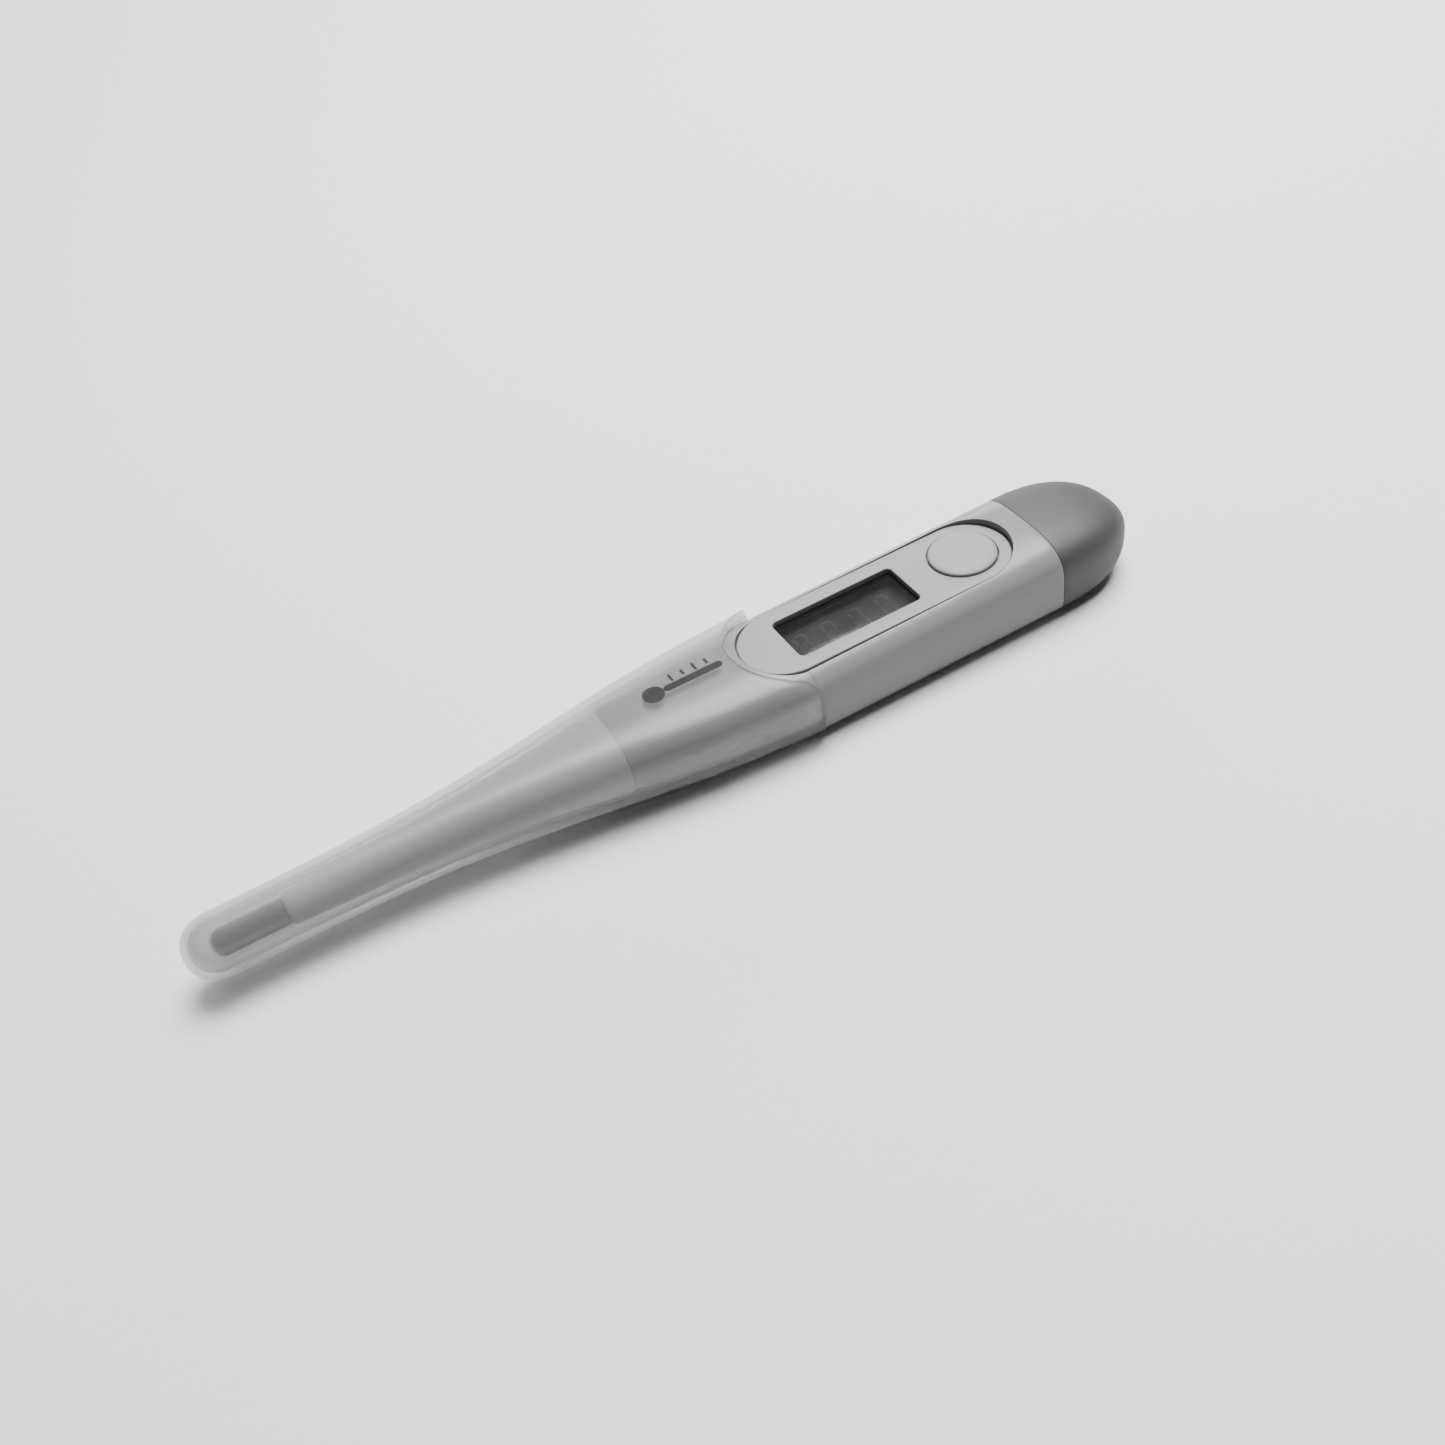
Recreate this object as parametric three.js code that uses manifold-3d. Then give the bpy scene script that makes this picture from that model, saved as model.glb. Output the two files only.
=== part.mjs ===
// Digital stick thermometer with a slide-off protective cap.
// Millimetres. +X runs from the sensing tip to the battery cover, +Y across the body, +Z up out of
// the display. Heights are above the plane that the underside rests on. The finished group is
// centred over the origin.

import * as THREE from "three";
import { mergeVertices } from "three/addons/utils/BufferGeometryUtils.js";
import Module from "manifold-3d";

const wasm = await Module();
wasm.setup();

// ---------------------------------------------------------------- driving dimensions

const TIP_X = -65; // the tip of the cap
const REAR_X = 66.4; // the end of the battery cover

const BEZEL = { front: 15.3, rear: 42.4, radius: 6.2, top: 9.95, thick: 0.8 };
const WINDOW = { from: 15.4, to: 33.3, half: 3.9, corner: 0.8 };
const BUTTON = { x: 42.2, radius: 4.5, proud: 0.4, crown: 0.35 };

const CAP = {
  mouth: 14.6,
  wall: 0.8,
  gap: 0.2, // between the cap and what it covers
  tipStart: -60.5, // where the rounded nose begins
  bluntness: 2.25, // of the rounded nose
  scallop: 8.2, // radius of the notch in the mouth
  notch: 15.7, // that notch's centre
  notchLow: 7,
  ear: 2.5, // rounding of the ears' upper corners
  earCentre: 8,
};
const BODY = { half: 8.9, seam: 51.7, frontTop: 10.4, rearTop: 11, square: 3, squareBelow: 4.5 };
const STEP_X = CAP.mouth + 0.3; // behind the mouth the underside steps down, so the body lies level
const CLEAR = 14; // a height above everything, for cuts that go right through the top

const CHAMBER = { half: 7.8, low: 1, high: 8.3, square: 4.5 }; // section of the hollow inside the housing
const CHAMBER_FRONT = 2;
const NECK = { front: -10, bore: 1.1, axis: 6.2, wall: 1.3, roof: 1.6 };
const POCKET = { gap: 0.1, under: 0.05, ledge: 0.8 }; // the recess that holds the display face
const PROBE = { plug: -6, plugRadius: 2.2, tipRadius: 2, sheathEnd: -52.5, bore: 0.95 };
const SHEATH = { radius: 1.7, wall: 0.25, nose: -61.7, dome: 1.5 };
const BEAD = { x: -60.3, radius: 0.5, stretch: 1.15 };
const EPOXY = { from: -59.6, to: -55.4 };
const LEAD = { radius: 0.19, apart: 0.4, slot: 0.75 };

const BOARD = { front: 8, rear: 45.5, half: 5.8, low: 4, thick: 1 };
const BOARD_TOP = BOARD.low + BOARD.thick;
const LCD = {
  from: 13.6,
  to: 34.6,
  half: 4.9,
  low: 5.9,
  glass: 0.7, // thickness of each of the two glasses
  gap: 0.05,
  step: 1.3, // how much narrower the front glass is
  strip: [3.2, 4.7], // the sides of the conductive strip
};
const LCD_TOP = LCD.low + 2 * LCD.glass + LCD.gap;
const HAIR = 0.02; // the gap between parts that touch
const CAPACITOR = [1.6, 0.8, 0.8]; // length, width, height
const RESISTOR = [1.6, 0.8, 0.5];
const SWITCH = { half: 2.2, height: 1.3, stem: 1.1, top: 2.55 };
const BLOB = { x: 18, radius: 2.2, thick: 0.55, bulge: 4.9 };
const BUZZER = { x: 29, plate: 4.9, ceramic: 3.6, hole: 5.2, low: 2.4, plateThick: 0.2, top: 2.85 };
const BATTERY = { x: 53, radius: 3.95, low: 2.9, thick: 3.6 };
const CARRIER = {
  nose: 6.5,
  front: 15.2,
  shoulder: 47.5,
  half: 7.2,
  noseHalf: 5,
  cradle: 5.4, // radius of the cup round the cell
  floor: [2.6, 3.4],
  ledgeTop: 3.95,
  rail: 0.9,
  railTop: 5.6,
  cup: [2.4, 6.9],
  slot: 1.4, // half the width of the slot for the contacts
};
const CONTACT = { thick: 0.2, half: 1, sideHalf: 1.2, sideX: 48.72, sideLow: 3.1, sideHigh: 5.9 };
const SPIGOT = { front: 48.5, gap: 0.2, wall: 0.8 };
const SEAL = { depth: 0.3, proud: 0.12, from: 1, to: 2, grooveDepth: 0.35, grooveProud: 0.25, play: 0.05 };
const COVER = { wall: 1.2, side: 1.8, lid: 1.6, gap: 0.15, bluntness: 2.3, hollowBluntness: 2.6 };

const RING_POINTS = 36; // points round each lofted section
const ARC_SEGMENTS = 10;

// Outer sections of the cap, from the mouth to the start of its rounded nose.
// half is half the width, low and high the bottom and top, square the exponent of the rounded square.
const CAP_SECTIONS = [
  { x: -60.5, half: 4.0, low: 2.15, high: 10.15, square: 2.0 },
  { x: -50.0, half: 4.05, low: 2.1, high: 10.2, square: 2.0 },
  { x: -38.0, half: 4.35, low: 2.0, high: 10.4, square: 2.05 },
  { x: -30.0, half: 4.95, low: 1.75, high: 10.65, square: 2.15 },
  { x: -23.0, half: 5.7, low: 1.45, high: 10.9, square: 2.3 },
  { x: -15.5, half: 6.7, low: 1.1, high: 11.2, square: 2.5 },
  { x: -8.0, half: 7.75, low: 0.65, high: 11.5, square: 2.7 },
  { x: -0.5, half: 8.75, low: 0.25, high: 11.45, square: 2.95 },
  { x: 7.0, half: 9.4, low: 0, high: 11.4, square: 3.2 },
  { x: 14.6, half: 9.75, low: 0, high: 11.3, square: 3.4 },
];

// ---------------------------------------------------------------- finishes

const paint = (color, roughness, metalness = 0) =>
  new THREE.MeshStandardMaterial({ color, roughness, metalness });
const clear = (color, roughness, opacity) =>
  new THREE.MeshStandardMaterial({ color, roughness, transparent: true, opacity });
const FINISH = {
  cap: clear(0xc9cac8, 0.5, 0.6),
  shell: paint(0xdcdbd8, 0.25),
  probe: paint(0xe6e5e2, 0.45),
  cover: paint(0x8b8a88, 0.5),
  bezel: paint(0xb9b9b8, 0.45),
  button: paint(0xc4c4c3, 0.5),
  lens: clear(0xe8ecec, 0.05, 0.35),
  glass: paint(0x6a6d6b, 0.1),
  steel: paint(0xa8a8a4, 0.3, 1),
  brass: paint(0xc9a45c, 0.35, 1),
  ceramic: paint(0xe9e4d6, 0.6),
  board: paint(0x2f6b45, 0.5),
  black: paint(0x1d1d1f, 0.55),
  chip: paint(0xb49a78, 0.55),
  carrier: paint(0xeeeeea, 0.5),
  seal: paint(0x4a4a4c, 0.8),
  epoxy: paint(0x3b3a36, 0.5),
  insulation: paint(0x9c3a2c, 0.6),
};

// ---------------------------------------------------------------- solids and booleans

function solidOf(geometry) {
  const bare = geometry.clone();
  bare.deleteAttribute("normal");
  bare.deleteAttribute("uv");
  const merged = mergeVertices(bare, 1e-4);
  return new wasm.Manifold(
    new wasm.Mesh({
      numProp: 3,
      vertProperties: merged.attributes.position.array,
      triVerts: new Uint32Array(merged.index.array),
    }),
  );
}

function geometryOf(solid) {
  const mesh = solid.getMesh();
  const geometry = new THREE.BufferGeometry();
  geometry.setAttribute("position", new THREE.BufferAttribute(mesh.vertProperties, 3));
  geometry.setIndex(new THREE.BufferAttribute(mesh.triVerts, 1));
  geometry.computeVertexNormals();
  return geometry;
}

const cut = (body, ...tools) =>
  geometryOf(tools.reduce((solid, tool) => solid.subtract(solidOf(tool)), solidOf(body)));
const join = (body, ...more) =>
  geometryOf(more.reduce((solid, other) => solid.add(solidOf(other)), solidOf(body)));
const common = (body, other) => geometryOf(solidOf(body).intersect(solidOf(other)));

// ---------------------------------------------------------------- plain shapes

const block = ([x0, x1], [y0, y1], [z0, z1]) =>
  new THREE.BoxGeometry(x1 - x0, y1 - y0, z1 - z0)
    .translate((x0 + x1) / 2, (y0 + y1) / 2, (z0 + z1) / 2);

const discZ = (x, y, radius, [z0, z1], sides = 28) =>
  new THREE.CylinderGeometry(radius, radius, z1 - z0, sides)
    .rotateX(Math.PI / 2)
    .translate(x, y, (z0 + z1) / 2);

const rodX = ([x0, x1], y, z, radius, sides = 12) =>
  new THREE.CylinderGeometry(radius, radius, x1 - x0, sides)
    .rotateZ(Math.PI / 2)
    .translate((x0 + x1) / 2, y, z);

// Turns a profile of [radius, height] points, from the bottom up, about the +Z axis through (x, 0).
const turnedZ = (x, profile, sides = 32) =>
  new THREE.LatheGeometry(profile.map(([r, z]) => new THREE.Vector2(r, -z)).reverse(), sides)
    .rotateX(Math.PI / 2)
    .translate(x, 0, 0)
    .rotateX(Math.PI);

// Turns a profile of [radius, x] points about the X axis at height z.
const turnedX = (z, profile, sides = 20) =>
  new THREE.LatheGeometry(profile.map(([r, x]) => new THREE.Vector2(r, x)), sides)
    .rotateZ(-Math.PI / 2)
    .translate(0, 0, z);

function upright(shape, [z0, z1]) {
  const options = { depth: z1 - z0, bevelEnabled: false, curveSegments: ARC_SEGMENTS };
  return new THREE.ExtrudeGeometry(shape, options).translate(0, 0, z0);
}

// A slab with round ends, whose end arcs are centred at x0 and x1.
function stadium([x0, x1], radius, heights) {
  const shape = new THREE.Shape();
  shape.absarc(x1, 0, radius, -Math.PI / 2, Math.PI / 2, false);
  shape.absarc(x0, 0, radius, Math.PI / 2, (3 * Math.PI) / 2, false);
  return upright(shape, heights);
}

function roundedSlab([x0, x1], half, corner, heights) {
  const shape = new THREE.Shape();
  shape.absarc(x1 - corner, half - corner, corner, 0, Math.PI / 2, false);
  shape.absarc(x0 + corner, half - corner, corner, Math.PI / 2, Math.PI, false);
  shape.absarc(x0 + corner, corner - half, corner, Math.PI, (3 * Math.PI) / 2, false);
  shape.absarc(x1 - corner, corner - half, corner, (3 * Math.PI) / 2, 2 * Math.PI, false);
  return upright(shape, heights);
}

// ---------------------------------------------------------------- lofted shells

const FLAT = 0.12; // how much of each section's bottom is planed off to a flat foot

// Points of one section at its x: a rounded square whose bottom is planed flat.
function ring(section) {
  const { x, half, low, high, square, squareBelow = square } = section;
  const under = low - (section.foot ? FLAT : 0);
  const middle = (under + high) / 2;
  const rise = (high - under) / 2;
  const points = [];
  for (let i = 0; i < RING_POINTS; i++) {
    const angle = ((i + 0.5) / RING_POINTS) * 2 * Math.PI;
    const power = 2 / (Math.sin(angle) > 0 ? square : squareBelow);
    const y = half * Math.sign(Math.cos(angle)) * Math.abs(Math.cos(angle)) ** power;
    const z = middle + rise * Math.sign(Math.sin(angle)) * Math.abs(Math.sin(angle)) ** power;
    points.push([x, y, Math.max(z, low)]);
  }
  return points;
}

// A closed solid through sections in order of growing x, with flat ends.
function loft(sections) {
  const rings = sections.map(ring);
  const vertices = rings.flat(2);
  const faces = [];
  const last = sections.length - 1;
  for (let s = 0; s < last; s++)
    for (let i = 0; i < RING_POINTS; i++) {
      const a = s * RING_POINTS + i;
      const b = s * RING_POINTS + ((i + 1) % RING_POINTS);
      faces.push(a, b, a + RING_POINTS, b, b + RING_POINTS, a + RING_POINTS);
    }
  for (const [s, flip] of [[0, false], [last, true]]) {
    const centre = vertices.length / 3;
    const { x, low, high } = sections[s];
    vertices.push(x, 0, (low + high) / 2);
    for (let i = 0; i < RING_POINTS; i++) {
      const a = s * RING_POINTS + i;
      const b = s * RING_POINTS + ((i + 1) % RING_POINTS);
      faces.push(...(flip ? [centre, a, b] : [centre, b, a]));
    }
  }
  const geometry = new THREE.BufferGeometry();
  geometry.setAttribute("position", new THREE.Float32BufferAttribute(vertices, 3));
  geometry.setIndex(faces);
  return geometry;
}

const inset = (section, side, low, high) => ({
  ...section,
  half: section.half - side,
  low: section.low + low,
  high: section.high - high,
});

// The cap's outer section at x, eased between the stations of CAP_SECTIONS.
function capSection(x) {
  const stations = CAP_SECTIONS;
  let k = stations.findIndex((s) => s.x >= x);
  k = k < 0 ? stations.length - 1 : Math.max(k, 1);
  const a = stations[k - 1];
  const b = stations[k];
  const before = stations[k - 2] ?? a;
  const after = stations[k + 1] ?? b;
  const span = b.x - a.x;
  const t = (x - a.x) / span;
  const blend = (key) => {
    const slopeA = ((b[key] - before[key]) / (b.x - before.x)) * span;
    const slopeB = ((after[key] - a[key]) / (after.x - a.x)) * span;
    const t2 = t ** 2;
    const t3 = t ** 3;
    const places = (2 * t3 - 3 * t2 + 1) * a[key] + (3 * t2 - 2 * t3) * b[key];
    const slopes = (t3 - 2 * t2 + t) * slopeA + (t3 - t2) * slopeB;
    return places + slopes;
  };
  const low = Math.max(0, blend("low"));
  return { x, half: blend("half"), low, high: blend("high"), square: blend("square") };
}

// Sections of a blunt rounded end: from the base section they shrink to a small flat at x = end.
function roundedEnd(base, end, bluntness, steps) {
  const middle = (base.low + base.high) / 2;
  return Array.from({ length: steps }, (_, i) => {
    const turn = ((i + 1) / (steps + 0.25)) * (Math.PI / 2);
    const along = Math.sin(turn) ** (2 / bluntness);
    const share = Math.cos(turn) ** (2 / bluntness);
    return {
      ...base,
      x: base.x + (end - base.x) * along,
      half: base.half * share,
      low: middle + (base.low - middle) * share,
      high: middle + (base.high - middle) * share,
      foot: false,
    };
  });
}

const spaced = (from, to, count) =>
  Array.from({ length: count }, (_, i) => from + ((to - from) * i) / (count - 1));

// ---------------------------------------------------------------- protective cap

// The cap's outer solid, or with a skin the solid that lies that deep inside it.
function capSolid(skin, mouth) {
  const footFrom = 5;
  const shrink = (section) => inset(section, skin, skin, skin);
  const base = shrink(capSection(CAP.tipStart));
  const nose = roundedEnd(base, TIP_X + skin, CAP.bluntness, 5).reverse();
  const barrel = spaced(CAP.tipStart, CAP.mouth, 15).map((x) =>
    shrink({ ...capSection(x), foot: x > footFrom && !skin }),
  );
  const end = { ...barrel.at(-1), x: mouth };
  return loft([...nose, ...barrel.slice(0, -1), end]);
}

// The waste outside the rounded upper corner of the two ears that flank the scallop.
function earRounding() {
  const { mouth, ear, earCentre } = CAP;
  const across = 12;
  const corner = block([mouth - ear, mouth + 1], [-across, across], [earCentre, CLEAR]);
  const round = new THREE.CylinderGeometry(ear, ear, 2 * across + 2, 48)
    .translate(mouth - ear, 0, earCentre);
  return cut(corner, round);
}

function protectiveCap() {
  const hollow = capSolid(CAP.wall, CAP.mouth + 1);
  const scallop = stadium([CAP.notch, CAP.notch + 10], CAP.scallop, [CAP.notchLow, CLEAR]);
  return cut(capSolid(0, CAP.mouth), hollow, scallop, earRounding());
}

// ---------------------------------------------------------------- housing

const bodySection = (x) => {
  const share = (x - BEZEL.front) / (BODY.seam - BEZEL.front);
  const high = BODY.frontTop + (BODY.rearTop - BODY.frontTop) * share;
  const { half, square, squareBelow } = BODY;
  return { x, half, low: 0, high, square, squareBelow, foot: true };
};

// What the cap covers has the cap's section, less its wall and gap: a little looser at the sides
// than over the top.
function underCap(x) {
  const step = CAP.wall + CAP.gap;
  const bias = 0.05;
  return inset(capSection(x), step + bias, step, step - bias);
}

const POCKET_FLOOR = BEZEL.top - BEZEL.thick - POCKET.under;

function housing() {
  const overlap = 0.5;
  const frontX = spaced(NECK.front, STEP_X + overlap, 8);
  const front = loft(frontX.map((x) => ({ ...underCap(Math.min(x, CAP.mouth)), x })));
  const rear = loft(spaced(STEP_X, BODY.seam, 7).map(bodySection));
  const funnel = spaced(NECK.front + 4, CHAMBER_FRONT, 3).map((x) =>
    inset(underCap(x), NECK.wall, NECK.wall, NECK.roof),
  );
  const steppedLow = 2 * CHAMBER.low; // the floor is higher where the cap goes round the housing
  const hollow = [10, 16, BODY.seam + 1].map((x) => ({
    ...CHAMBER,
    x,
    low: x < STEP_X ? steppedLow : CHAMBER.low,
  }));
  const cavity = loft([...funnel, ...hollow]);
  const arcs = [BEZEL.front, BEZEL.rear];
  const pocket = stadium(arcs, BEZEL.radius + POCKET.gap, [POCKET_FLOOR, CLEAR]);
  const openingArcs = [BEZEL.front + 0.6, BEZEL.rear];
  const opening = stadium(openingArcs, BEZEL.radius - POCKET.ledge, [NECK.axis, CLEAR]);
  const leadWay = rodX([NECK.front - 1, CHAMBER_FRONT], 0, NECK.axis, NECK.bore);
  const socketRadius = PROBE.plugRadius + 0.15;
  const socket = rodX([NECK.front - 1, PROBE.plug], 0, NECK.axis, socketRadius, 20);
  return cut(join(front, rear), cavity, pocket, opening, leadWay, socket);
}

// ---------------------------------------------------------------- probe and sensing tip

const TIP_Z = 6.15; // height of the sensing tip's axis
const INSIDE_SHEATH = SHEATH.radius - SHEATH.wall - 0.1; // radius of what fits inside the sheath

function probeShaft() {
  const stations = spaced(PROBE.sheathEnd + 0.1, NECK.front - 0.1, 8);
  const skin = stations.map((x) => {
    const share = (x - stations[0]) / (stations.at(-1) - stations[0]);
    const covered = underCap(x);
    const { tipRadius } = PROBE;
    const slim = { half: tipRadius, low: TIP_Z - tipRadius, high: TIP_Z + tipRadius, square: 2 };
    const ease = share ** 0.8;
    const mix = (key) => slim[key] + (covered[key] - slim[key]) * ease;
    return { x, half: mix("half"), low: mix("low"), high: mix("high"), square: mix("square") };
  });
  const plug = rodX([NECK.front - 1, PROBE.plug - 0.15], 0, NECK.axis, PROBE.plugRadius, 20);
  const nippleX = [PROBE.sheathEnd - 2.5, PROBE.sheathEnd + 1];
  const nipple = rodX(nippleX, 0, TIP_Z, INSIDE_SHEATH, 16);
  const bore = rodX([PROBE.sheathEnd - 3, PROBE.plug + 1], 0, TIP_Z, PROBE.bore);
  return cut(join(loft(skin), plug, nipple), bore);
}

function tipSheath() {
  const { radius, wall, nose, dome } = SHEATH;
  const outer = [
    [0, nose],
    [radius * 0.5, nose + 0.2],
    [radius * 0.87, nose + dome / 2],
    [radius, nose + dome],
  ];
  const inner = [
    [radius - wall, nose + dome],
    [radius * 0.6, nose + dome / 2],
    [0, nose + wall * 1.6],
  ];
  const profile = [...outer, [radius, PROBE.sheathEnd], [radius - wall, PROBE.sheathEnd], ...inner];
  return turnedX(TIP_Z, profile, 24);
}

function tipEpoxy() {
  const { from, to } = EPOXY;
  const slug = rodX([from, to], 0, TIP_Z, INSIDE_SHEATH, 16);
  const slotHalf = LEAD.radius + 0.11;
  const slotX = [from - 0.4, to + 0.4];
  return cut(slug, block(slotX, [-LEAD.slot, LEAD.slot], [TIP_Z - slotHalf, TIP_Z + slotHalf]));
}

const thermistorBead = () =>
  new THREE.SphereGeometry(BEAD.radius, 14, 10).scale(BEAD.stretch, 1, 1).translate(BEAD.x, 0, TIP_Z);

// One insulated lead from the bead to the front of the board, sagging into the housing.
function sensorLead(side) {
  const y = side * LEAD.apart;
  const route = new THREE.CatmullRomCurve3([
    new THREE.Vector3(EPOXY.from, y, TIP_Z),
    new THREE.Vector3(-40, y, TIP_Z),
    new THREE.Vector3(-12, y, TIP_Z),
    new THREE.Vector3(-4, y * 1.6, TIP_Z - 0.1),
    new THREE.Vector3(2, y * 3, 5.9),
    new THREE.Vector3(BOARD.front + 0.6, y * 4, BOARD_TOP + 0.45),
  ]);
  const section = new THREE.Shape().absarc(0, 0, LEAD.radius, 0, 2 * Math.PI, false);
  const options = { extrudePath: route, steps: 26, curveSegments: 4, bevelEnabled: false };
  return new THREE.ExtrudeGeometry(section, options);
}

// ---------------------------------------------------------------- display face

function displayBezel() {
  const heights = [BEZEL.top - BEZEL.thick, BEZEL.top];
  const through = [heights[0] - 1, heights[1] + 1];
  const window = roundedSlab([WINDOW.from, WINDOW.to], WINDOW.half, WINDOW.corner, through);
  const hole = discZ(BUTTON.x, 0, BUTTON.radius + 0.12, through, 36);
  return cut(stadium([BEZEL.front, BEZEL.rear], BEZEL.radius, heights), window, hole);
}

function displayLens() {
  const border = 0.8;
  const thick = 0.7;
  const span = [WINDOW.from - border, WINDOW.to + border];
  return roundedSlab(span, WINDOW.half + thick, 0.6, [POCKET_FLOOR - thick, POCKET_FLOOR]);
}

function powerButton() {
  const edge = BEZEL.top + BUTTON.proud;
  const flange = { radius: 5.2, top: POCKET_FLOOR, thick: 0.5 };
  const plunger = { radius: 1.2, length: 0.55 };
  const foot = flange.top - flange.thick;
  const r = BUTTON.radius;
  const profile = [
    [0, foot - plunger.length],
    [plunger.radius, foot - plunger.length],
    [plunger.radius, foot],
    [flange.radius, foot],
    [flange.radius, flange.top],
    [r, flange.top],
    [r, edge - 0.25],
    [r - 0.25, edge],
    [r * 0.7, edge + BUTTON.crown * 0.6],
    [r * 0.35, edge + BUTTON.crown * 0.92],
    [0, edge + BUTTON.crown],
  ];
  return turnedZ(BUTTON.x, profile, 36);
}

// ---------------------------------------------------------------- electronics on the sliding carrier

function carrierFrame() {
  const { nose, front, shoulder, half, noseHalf, cradle, floor, rail } = CARRIER;
  const play = 0.1;
  const span = [front, shoulder];
  const tongue = block([nose, front + 1], [-noseHalf, noseHalf], floor);
  const tray = block(span, [-half, half], floor);
  const ledgeHeights = [floor[0], CARRIER.ledgeTop];
  const ledges = [noseHalf, -half].map((y) => block(span, [y, y + half - noseHalf], ledgeHeights));
  const railHeights = [floor[0], CARRIER.railTop];
  const rails = [half - rail, -half].map((y) => block(span, [y, y + rail], railHeights));
  const neck = block([shoulder - 1.5, BATTERY.x], [-cradle, cradle], CARRIER.cup);
  const cup = discZ(BATTERY.x, 0, cradle, CARRIER.cup, 36);
  const fromCell = [BATTERY.low - play, CLEAR];
  const well = discZ(BATTERY.x, 0, BATTERY.radius + 0.15, fromCell, 32);
  const slot = block([shoulder - 2, BATTERY.x], [-CARRIER.slot, CARRIER.slot], fromCell);
  const buzzerHole = discZ(BUZZER.x, 0, BUZZER.hole, [0, CLEAR], 28);
  const boardSides = [-BOARD.half - play, BOARD.half + play];
  const boardEnd = block([BOARD.front, BOARD.rear + play], boardSides, [BOARD.low - play / 2, CLEAR]);
  return cut(join(tongue, tray, ...ledges, ...rails, neck, cup), well, slot, boardEnd, buzzerHole);
}

const circuitBoard = () =>
  block([BOARD.front, BOARD.rear], [-BOARD.half, BOARD.half], [BOARD.low, BOARD_TOP]);

function displayFrame() {
  const play = 0.1;
  const wall = 0.8;
  const inner = [LCD.from - play, LCD.to + play];
  const innerSides = [-LCD.half - play, LCD.half + play];
  const outer = [inner[0] - wall, inner[1] + wall];
  const outerSides = [-LCD.half - wall + play, LCD.half + wall - play];
  return cut(block(outer, outerSides, [BOARD_TOP + HAIR, LCD_TOP]), block(inner, innerSides, [0, CLEAR]));
}

const zebraConnector = () =>
  block([LCD.from + 0.4, LCD.to - 0.4], LCD.strip, [BOARD_TOP + HAIR, LCD.low - HAIR]);

const lcdRearGlass = () =>
  block([LCD.from, LCD.to], [-LCD.half, LCD.half], [LCD.low, LCD.low + LCD.glass]);

// The front glass is narrower, so that the strip meets the rear glass beside it.
const lcdFrontGlass = () =>
  block([LCD.from, LCD.to], [-LCD.half, LCD.half - LCD.step], [LCD_TOP - LCD.glass, LCD_TOP]);

const switchBase = () =>
  block(
    [BUTTON.x - SWITCH.half, BUTTON.x + SWITCH.half],
    [-SWITCH.half, SWITCH.half],
    [BOARD_TOP + HAIR, BOARD_TOP + SWITCH.height],
  );

const switchStem = () =>
  discZ(BUTTON.x, 0, SWITCH.stem, [BOARD_TOP + SWITCH.height + HAIR, BOARD_TOP + SWITCH.top], 20);

function controllerBlob() {
  const low = BOARD.low - BLOB.thick;
  const cap = discZ(BLOB.x, 0, BLOB.radius, [low, BOARD.low - HAIR], 24);
  const bulge = new THREE.SphereGeometry(BLOB.bulge, 32, 24).translate(BLOB.x, 0, low + BLOB.bulge);
  return common(cap, bulge);
}

// A chip of size [length, width, height] on the board, its middle at (x, y).
const chip = (x, y, [length, width, height]) =>
  block(
    [x - length / 2, x + length / 2],
    [y - width / 2, y + width / 2],
    [BOARD_TOP + HAIR, BOARD_TOP + height],
  );

const BUZZER_MIDDLE = BUZZER.low + BUZZER.plateThick;
const buzzerPlate = () => discZ(BUZZER.x, 0, BUZZER.plate, [BUZZER.low, BUZZER_MIDDLE], 32);
const buzzerCeramic = () =>
  discZ(BUZZER.x, 0, BUZZER.ceramic, [BUZZER_MIDDLE + HAIR, BUZZER.top], 28);

const batteryCell = () => {
  const { x, radius, low, thick } = BATTERY;
  const edge = 0.3;
  const top = low + thick;
  const shoulder = top - 0.35;
  const rimRadius = radius - 0.75;
  const profile = [
    [0, low],
    [radius - edge, low],
    [radius, low + edge],
    [radius, shoulder - edge],
    [radius - edge, shoulder],
    [rimRadius, shoulder],
    [rimRadius, top],
    [0, top],
  ];
  return turnedZ(x, profile);
};

// A sheet-metal strip bent in the XZ plane: the outline's points are [x, z], and y0 to y1 is its width.
function strip(points, [y0, y1]) {
  const shape = new THREE.Shape(points.map(([x, z]) => new THREE.Vector2(x, z)));
  return new THREE.ExtrudeGeometry(shape, { depth: y1 - y0, bevelEnabled: false })
    .rotateX(Math.PI / 2)
    .translate(0, y1, 0);
}

// The upper strip bears on the cell's raised face and runs forward onto the board.
function batteryContactNegative() {
  const { thick, half } = CONTACT;
  const onBoard = BOARD_TOP + 0.05;
  const onCell = BATTERY.low + BATTERY.thick + 0.1;
  const soldered = BOARD.rear - 1;
  const tail = BATTERY.x + 2;
  const crest = onCell + 0.35;
  const lower = [
    [soldered, onBoard],
    [soldered + 0.8, onBoard],
    [soldered + 1.9, crest],
    [tail, onCell],
  ];
  const upper = [
    [tail, onCell + thick],
    [soldered + 1.8, crest + thick],
    [soldered + 0.7, onBoard + thick],
    [soldered, onBoard + thick],
  ];
  return strip([...lower, ...upper], [-half, half]);
}

// The side contact stands in the cradle's slot against the cell's rim.
function batteryContactPositive() {
  const { thick, sideX, sideHalf, sideLow, sideHigh } = CONTACT;
  return block([sideX, sideX + thick], [-sideHalf, sideHalf], [sideLow, sideHigh]);
}

// ---------------------------------------------------------------- battery cover and seal

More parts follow.
